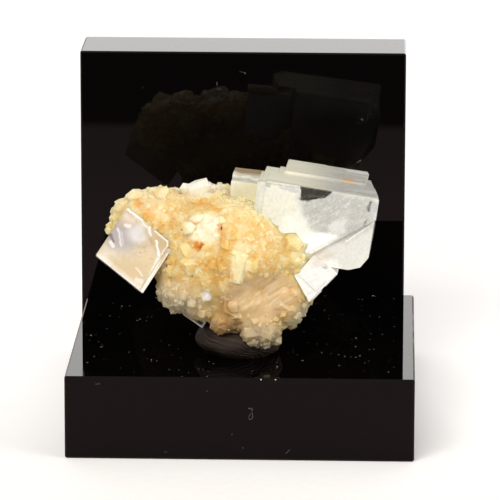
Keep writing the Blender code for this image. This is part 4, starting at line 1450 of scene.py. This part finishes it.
class FluoriteSettings(bpy.types.PropertyGroup):
    """Sizes and colours of the fluorite."""

    seed: IntProperty(name="Seed", description="Which random growth layers are laid on", default=4)
    chamfer: FloatProperty(
        name="Edge", description="Width of the worn edges", default=0.00007, unit="LENGTH")
    film: FloatProperty(
        name="Film", description="How far the milky zones stand off the clear crystal", default=0.000012,
        unit="LENGTH")
    veil_depth: FloatProperty(
        name="Veil Depth", description="How far under the faces the inner veils lie", default=0.0009,
        unit="LENGTH")
    veil: FloatProperty(
        name="Veils", description="How dense the inner veils are", default=0.55, subtype="FACTOR",
        min=0.0, max=1.0)


class PuttySettings(bpy.types.PropertyGroup):
    """Size and colour of the putty."""

    ridge_height: FloatProperty(
        name="Ridge Height", description="Height of the finger marks", default=0.00005, unit="LENGTH")
    colour: FloatVectorProperty(
        name="Colour", description="Colour of the putty", subtype="COLOR", default=(0.026, 0.017, 0.013))


class StandSettings(bpy.types.PropertyGroup):
    """Finish of the acrylic."""

    colour: FloatVectorProperty(
        name="Colour", description="Colour of the acrylic", subtype="COLOR",
        default=(0.0014, 0.0010, 0.0009))
    dust: FloatProperty(
        name="Dust", description="Share of places that hold a speck of dust", default=0.24,
        subtype="FACTOR", min=0.0, max=1.0)


class StageSettings(bpy.types.PropertyGroup):
    """Floor and light."""

    floor: FloatVectorProperty(
        name="Floor", description="Colour of the floor", subtype="COLOR", default=(0.955, 0.93, 0.91))
    backdrop: FloatVectorProperty(
        name="Backdrop", description="Colour of the surroundings as the camera sees them",
        subtype="COLOR",
        default=(0.956, 0.921, 0.888))
    key_power: FloatProperty(
        name="Key Power", description="Power of the soft light above the front", default=1.28,
        unit="POWER")
    surround: FloatProperty(
        name="Surround", description="Strength of the pale surroundings", default=1.0)


SETTINGS = {
    "specimen_quartz": QuartzSettings,
    "specimen_fluorite": FluoriteSettings,
    "specimen_putty": PuttySettings,
    "specimen_stand": StandSettings,
    "specimen_stage": StageSettings,
}


def islands(form):
    """The sets of faces of a mesh that hang together."""
    left = set(form.faces)
    found = []
    while left:
        island = [left.pop()]
        for face in island:
            beside = {other for edge in face.edges for other in edge.link_faces if other in left}
            left -= beside
            island += beside
        found.append(island)
    return found


def clean(mesh):
    """Merges doubled points and takes out the slivers, folded flaps and crumbs that joining leaves."""
    with opened(mesh) as form:
        bmesh.ops.triangulate(form, faces=form.faces)
        for _ in range(MERGE_ROUNDS):
            bmesh.ops.remove_doubles(form, verts=form.verts, dist=WELD)
            bmesh.ops.dissolve_degenerate(form, edges=form.edges, dist=WELD)
        bmesh.ops.triangulate(form, faces=form.faces)
        seen = {}
        for face in form.faces:
            seen.setdefault(frozenset(corner.index for corner in face.verts), []).append(face)
        flaps = [face for faces in seen.values() for face in faces[:len(faces) // 2 * 2]]
        bmesh.ops.delete(form, geom=flaps, context="FACES")
        for _ in range(FIN_ROUNDS):
            fins = [face for face in form.faces if any(edge.is_boundary for edge in face.edges)
                    and any(len(edge.link_faces) > 2 for edge in face.edges)]
            bmesh.ops.delete(form, geom=fins, context="FACES")
        crumbs = [face for island in islands(form) if len(island) < CRUMB for face in island]
        bmesh.ops.delete(form, geom=crumbs, context="FACES")
        for items, context in ((form.edges, "EDGES"), (form.verts, "VERTS")):
            loose = [item for item in items if not item.link_faces]
            bmesh.ops.delete(form, geom=loose, context=context)
        rims = [edge for edge in form.edges if edge.is_boundary]
        bmesh.ops.holes_fill(form, edges=rims, sides=HOLE_SIDES)
        bmesh.ops.triangulate(form, faces=form.faces)


def finish_piece(piece, material, slot, *nodes):
    """Gives a piece its material and its body, and hides the solids that it stands for. The slot is not
    used.
    """
    clean(piece.data)
    piece.data.materials.clear()
    piece.data.materials.append(material)
    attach(piece, "root")
    if nodes:
        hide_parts(*nodes)


class SPECIMEN_OT_quartz(bpy.types.Operator):
    """Grow the quartz matrix and its crystals"""

    bl_idname = "specimen.quartz"
    bl_label = "Grow Quartz"

    def execute(self, context):
        settings = context.scene.specimen_quartz
        finish_piece(quartz_form(settings), quartz_material(settings), "quartz", "quartz_matrix")
        finish_piece(clear_points_form(settings), clear_quartz_material(), "quartz")
        return {"FINISHED"}


class SPECIMEN_OT_fluorite(bpy.types.Operator):
    """Grow the clear fluorite crystals with their growth layers"""

    bl_idname = "specimen.fluorite"
    bl_label = "Grow Fluorite"

    def execute(self, context):
        settings = context.scene.specimen_fluorite
        chamfer = settings.chamfer / MM
        large, small = all_growth_layers(settings.seed)
        pale = fluorite_material("clear_fluorite", (0.80, 0.84, 0.74), 12.0)
        peach = fluorite_material("peach_fluorite", (0.90, 0.76, 0.66), 25.0)
        finish_piece(
            cluster_form("clear_cluster", chamfer, 0.0, large), pale, "fluorite_right",
            "fluorite_cluster_right")
        finish_piece(
            left_cube_form("clear_left_cube", chamfer, 0.0, small), peach, "fluorite_left",
            "fluorite_cube_left")
        finish_piece(
            under_cube_form("clear_under_cube", chamfer, 0.0), pale, "fluorite_small",
            "fluorite_cube_under")
        return {"FINISHED"}


class SPECIMEN_OT_clouds(bpy.types.Operator):
    """Lay the milky zones, with painted reflections and highlights, on the fluorite and the veils inside
    it
    """

    bl_idname = "specimen.clouds"
    bl_label = "Add Milky Zones"

    def execute(self, context):
        settings = context.scene.specimen_fluorite
        chamfer = settings.chamfer / MM
        film = settings.film / MM
        depth = settings.veil_depth / MM
        large, small = all_growth_layers(settings.seed)
        milk, peach = cluster_material(), left_material()
        finish_piece(cluster_form("cluster_milk_and_reflection", chamfer, film, large), milk, "fluorite_right")
        finish_piece(left_cube_form("left_milk_and_reflections", chamfer, film, small), peach, "fluorite_left")
        # the small cube's edges get painted highlights
        place = facing_frame(UNDER_CORNER, UNDER_FACING, UNDER_TURNS)
        rims = edge_highlight_material("painted_edge_highlights", place, UNDER_BLOCK, UNDER_HIGHLIGHT_WIDTH)
        finish_piece(under_cube_form("under_edge_highlights", chamfer, film), rims, "fluorite_small")
        for name, form, kind, colour, slot in (
                ("cluster_veil", cluster_form, "pale_veil", (0.95, 0.95, 0.90), "fluorite_right"),
                ("left_veil", left_cube_form, "peach_veil", (0.62, 0.44, 0.22), "fluorite_left")):
            material = veil_material(kind, colour, settings.veil)
            finish_piece(form(name, VEIL_CHAMFER, -depth), material, slot)
        return {"FINISHED"}


class SPECIMEN_OT_putty(bpy.types.Operator):
    """Press the ball of putty under the specimen"""

    bl_idname = "specimen.putty"
    bl_label = "Press Putty"

    def execute(self, context):
        settings = context.scene.specimen_putty
        finish_piece(putty_form(settings), putty_material(settings), "putty", "mounting_putty")
        return {"FINISHED"}


class SPECIMEN_OT_stand(bpy.types.Operator):
    """Polish the two acrylic pieces of the stand"""

    bl_idname = "specimen.stand"
    bl_label = "Polish Stand"

    def execute(self, context):
        material = acrylic_material(context.scene.specimen_stand)
        for name in ("base_block", "back_panel"):
            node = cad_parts[name]
            node.data.materials.clear()
            node.data.materials.append(material)
        return {"FINISHED"}


def camera_matrix():
    """The camera's place and turn, from its yaw, pitch and roll."""
    yaw, pitch, roll = CAMERA_YAW, CAMERA_PITCH, CAMERA_ROLL
    ahead = Vector((np.sin(yaw) * np.cos(pitch), np.cos(yaw) * np.cos(pitch), -np.sin(pitch)))
    right = Vector((np.cos(yaw), -np.sin(yaw), 0.0))
    up = right.cross(ahead)
    across = np.cos(roll) * right + np.sin(roll) * up
    rise = np.cos(roll) * up - np.sin(roll) * right
    matrix = Matrix((across, rise, -ahead)).transposed().to_4x4()
    matrix.translation = Vector(at(CAMERA_PLACE))
    return matrix


def add_light(name, place, size, power, colour):
    """A square soft light at a place in mm that faces the specimen."""
    data = bpy.data.lights.new(name, "AREA")
    data.size = size * MM
    data.energy = power
    data.color = colour
    made = bpy.data.objects.new(name, data)
    place, target = Vector(at(place)), Vector(at(AIM))
    turn = (target - place).to_track_quat("-Z", "Y").to_matrix().to_4x4()
    made.matrix_world = Matrix.Translation(place) @ turn
    bpy.context.scene.collection.objects.link(made)


def floor_material(settings):
    """A pale matt floor. It glows a little for the camera, and its mirror image is toned down."""
    made, wiring, place = new_material("pale_floor", {"Roughness": 0.9, "Emission Strength": 1.0})
    grain = wiring.between(wiring.noise(place, 1.5, 3.0), 0.3, 0.7)
    colour = wiring.mix(grain, settings.floor, tuple(value * 0.97 for value in settings.floor))
    rays = wiring.add("ShaderNodeLightPath").outputs
    # in metres behind the middle of the stand
    ahead = wiring.split(place)["Y"]
    share = wiring.times(
        wiring.between(ahead, -0.168, -0.158), wiring.between(ahead, -0.165, -0.03, 0.43, 0.76))
    dull = wiring.mix(share, BLACK, (0.95, 0.71, 0.68))
    wiring.feed("Base Color", wiring.mix(rays["Is Glossy Ray"], colour, dull))
    far = wiring.between(ahead, 0.0, 0.4, 0.0, 0.2)
    glow = wiring.math("ADD", far, wiring.between(ahead, -0.060, 0.020, 0.03, 0.26))
    glow = wiring.times(glow, rays["Is Camera Ray"])
    wiring.feed("Emission Color", wiring.mix(glow, BLACK, (1.0, 0.99, 0.98)))
    return made


def pale_surroundings(settings):
    """A world that is bright behind and above, and plain where the camera sees it."""
    made = bpy.data.worlds.new("pale_surroundings")
    made.use_nodes = True
    wiring = Wiring(made.node_tree, made.node_tree.nodes["Background"])
    _, ahead, above = wiring.split(wiring.add("ShaderNodeTexCoord").outputs["Generated"])
    back = wiring.between(ahead, 0.45, 0.95, 0.05, 1.8)
    high = wiring.between(above, 0.2, 0.9, 0.0, 0.6)
    strength = wiring.times(wiring.math("MAXIMUM", back, high), settings.surround)
    seen = wiring.add("ShaderNodeLightPath").outputs["Is Camera Ray"]
    unseen = wiring.math("SUBTRACT", 1.0, seen)
    wiring.feed("Color", wiring.mix(seen, (1.0, 0.99, 0.97), settings.backdrop))
    wiring.feed("Strength", wiring.math("MULTIPLY_ADD", strength, unseen, seen))
    return made


class SPECIMEN_OT_stage(bpy.types.Operator):
    """Set the floor, the lights, the surroundings and the camera"""

    bl_idname = "specimen.stage"
    bl_label = "Set Stage"

    def execute(self, context):
        settings = context.scene.specimen_stage
        scene = context.scene
        floor = mesh_object("floor", box_rows(*FLOOR_CORNERS, FLOOR_CHAMFER))
        floor.data.materials.append(floor_material(settings))
        scene.world = pale_surroundings(settings)
        for name, place, size, share, colour in LIGHTS:
            add_light(name, place, size, settings.key_power * share, colour)
        data = bpy.data.cameras.new("camera")
        data.sensor_width = CAMERA_SENSOR
        data.lens = CAMERA_LENS
        data.clip_start, data.clip_end = CAMERA_REACH
        camera = bpy.data.objects.new("camera", data)
        camera.matrix_world = camera_matrix()
        scene.collection.objects.link(camera)
        scene.camera = camera
        scene.view_settings.view_transform = "Standard"
        scene.cycles.max_bounces = 24
        scene.cycles.diffuse_bounces = 12
        scene.cycles.transmission_bounces = 16
        return {"FINISHED"}


STEPS = (
    SPECIMEN_OT_quartz,
    SPECIMEN_OT_fluorite,
    SPECIMEN_OT_clouds,
    SPECIMEN_OT_putty,
    SPECIMEN_OT_stand,
    SPECIMEN_OT_stage,
)


class SPECIMEN_PT_panel(bpy.types.Panel):
    """The specimen's settings and steps"""

    bl_idname = "SPECIMEN_PT_panel"
    bl_label = "Fluorite with Quartz"
    bl_space_type = "VIEW_3D"
    bl_region_type = "UI"
    bl_category = "Specimen"

    def draw(self, context):
        for name, kind in SETTINGS.items():
            box = self.layout.box()
            for label in kind.__annotations__:
                box.prop(getattr(context.scene, name), label)
        for step in STEPS:
            self.layout.operator(step.bl_idname)


CLASSES = (*SETTINGS.values(), *STEPS, SPECIMEN_PT_panel)


def register():
    """Registers the classes and hangs the settings on the scene."""
    for kind in CLASSES:
        bpy.utils.register_class(kind)
    for name, kind in SETTINGS.items():
        setattr(bpy.types.Scene, name, PointerProperty(type=kind))


def unregister():
    """Takes the settings off the scene and unregisters the classes."""
    for name in SETTINGS:
        delattr(bpy.types.Scene, name)
    for kind in reversed(CLASSES):
        bpy.utils.unregister_class(kind)


def main():
    """Runs every step in order."""
    register()
    bpy.ops.specimen.quartz()
    bpy.ops.specimen.fluorite()
    bpy.ops.specimen.clouds()
    bpy.ops.specimen.putty()
    bpy.ops.specimen.stand()
    bpy.ops.specimen.stage()


if __name__ == "__main__":
    main()
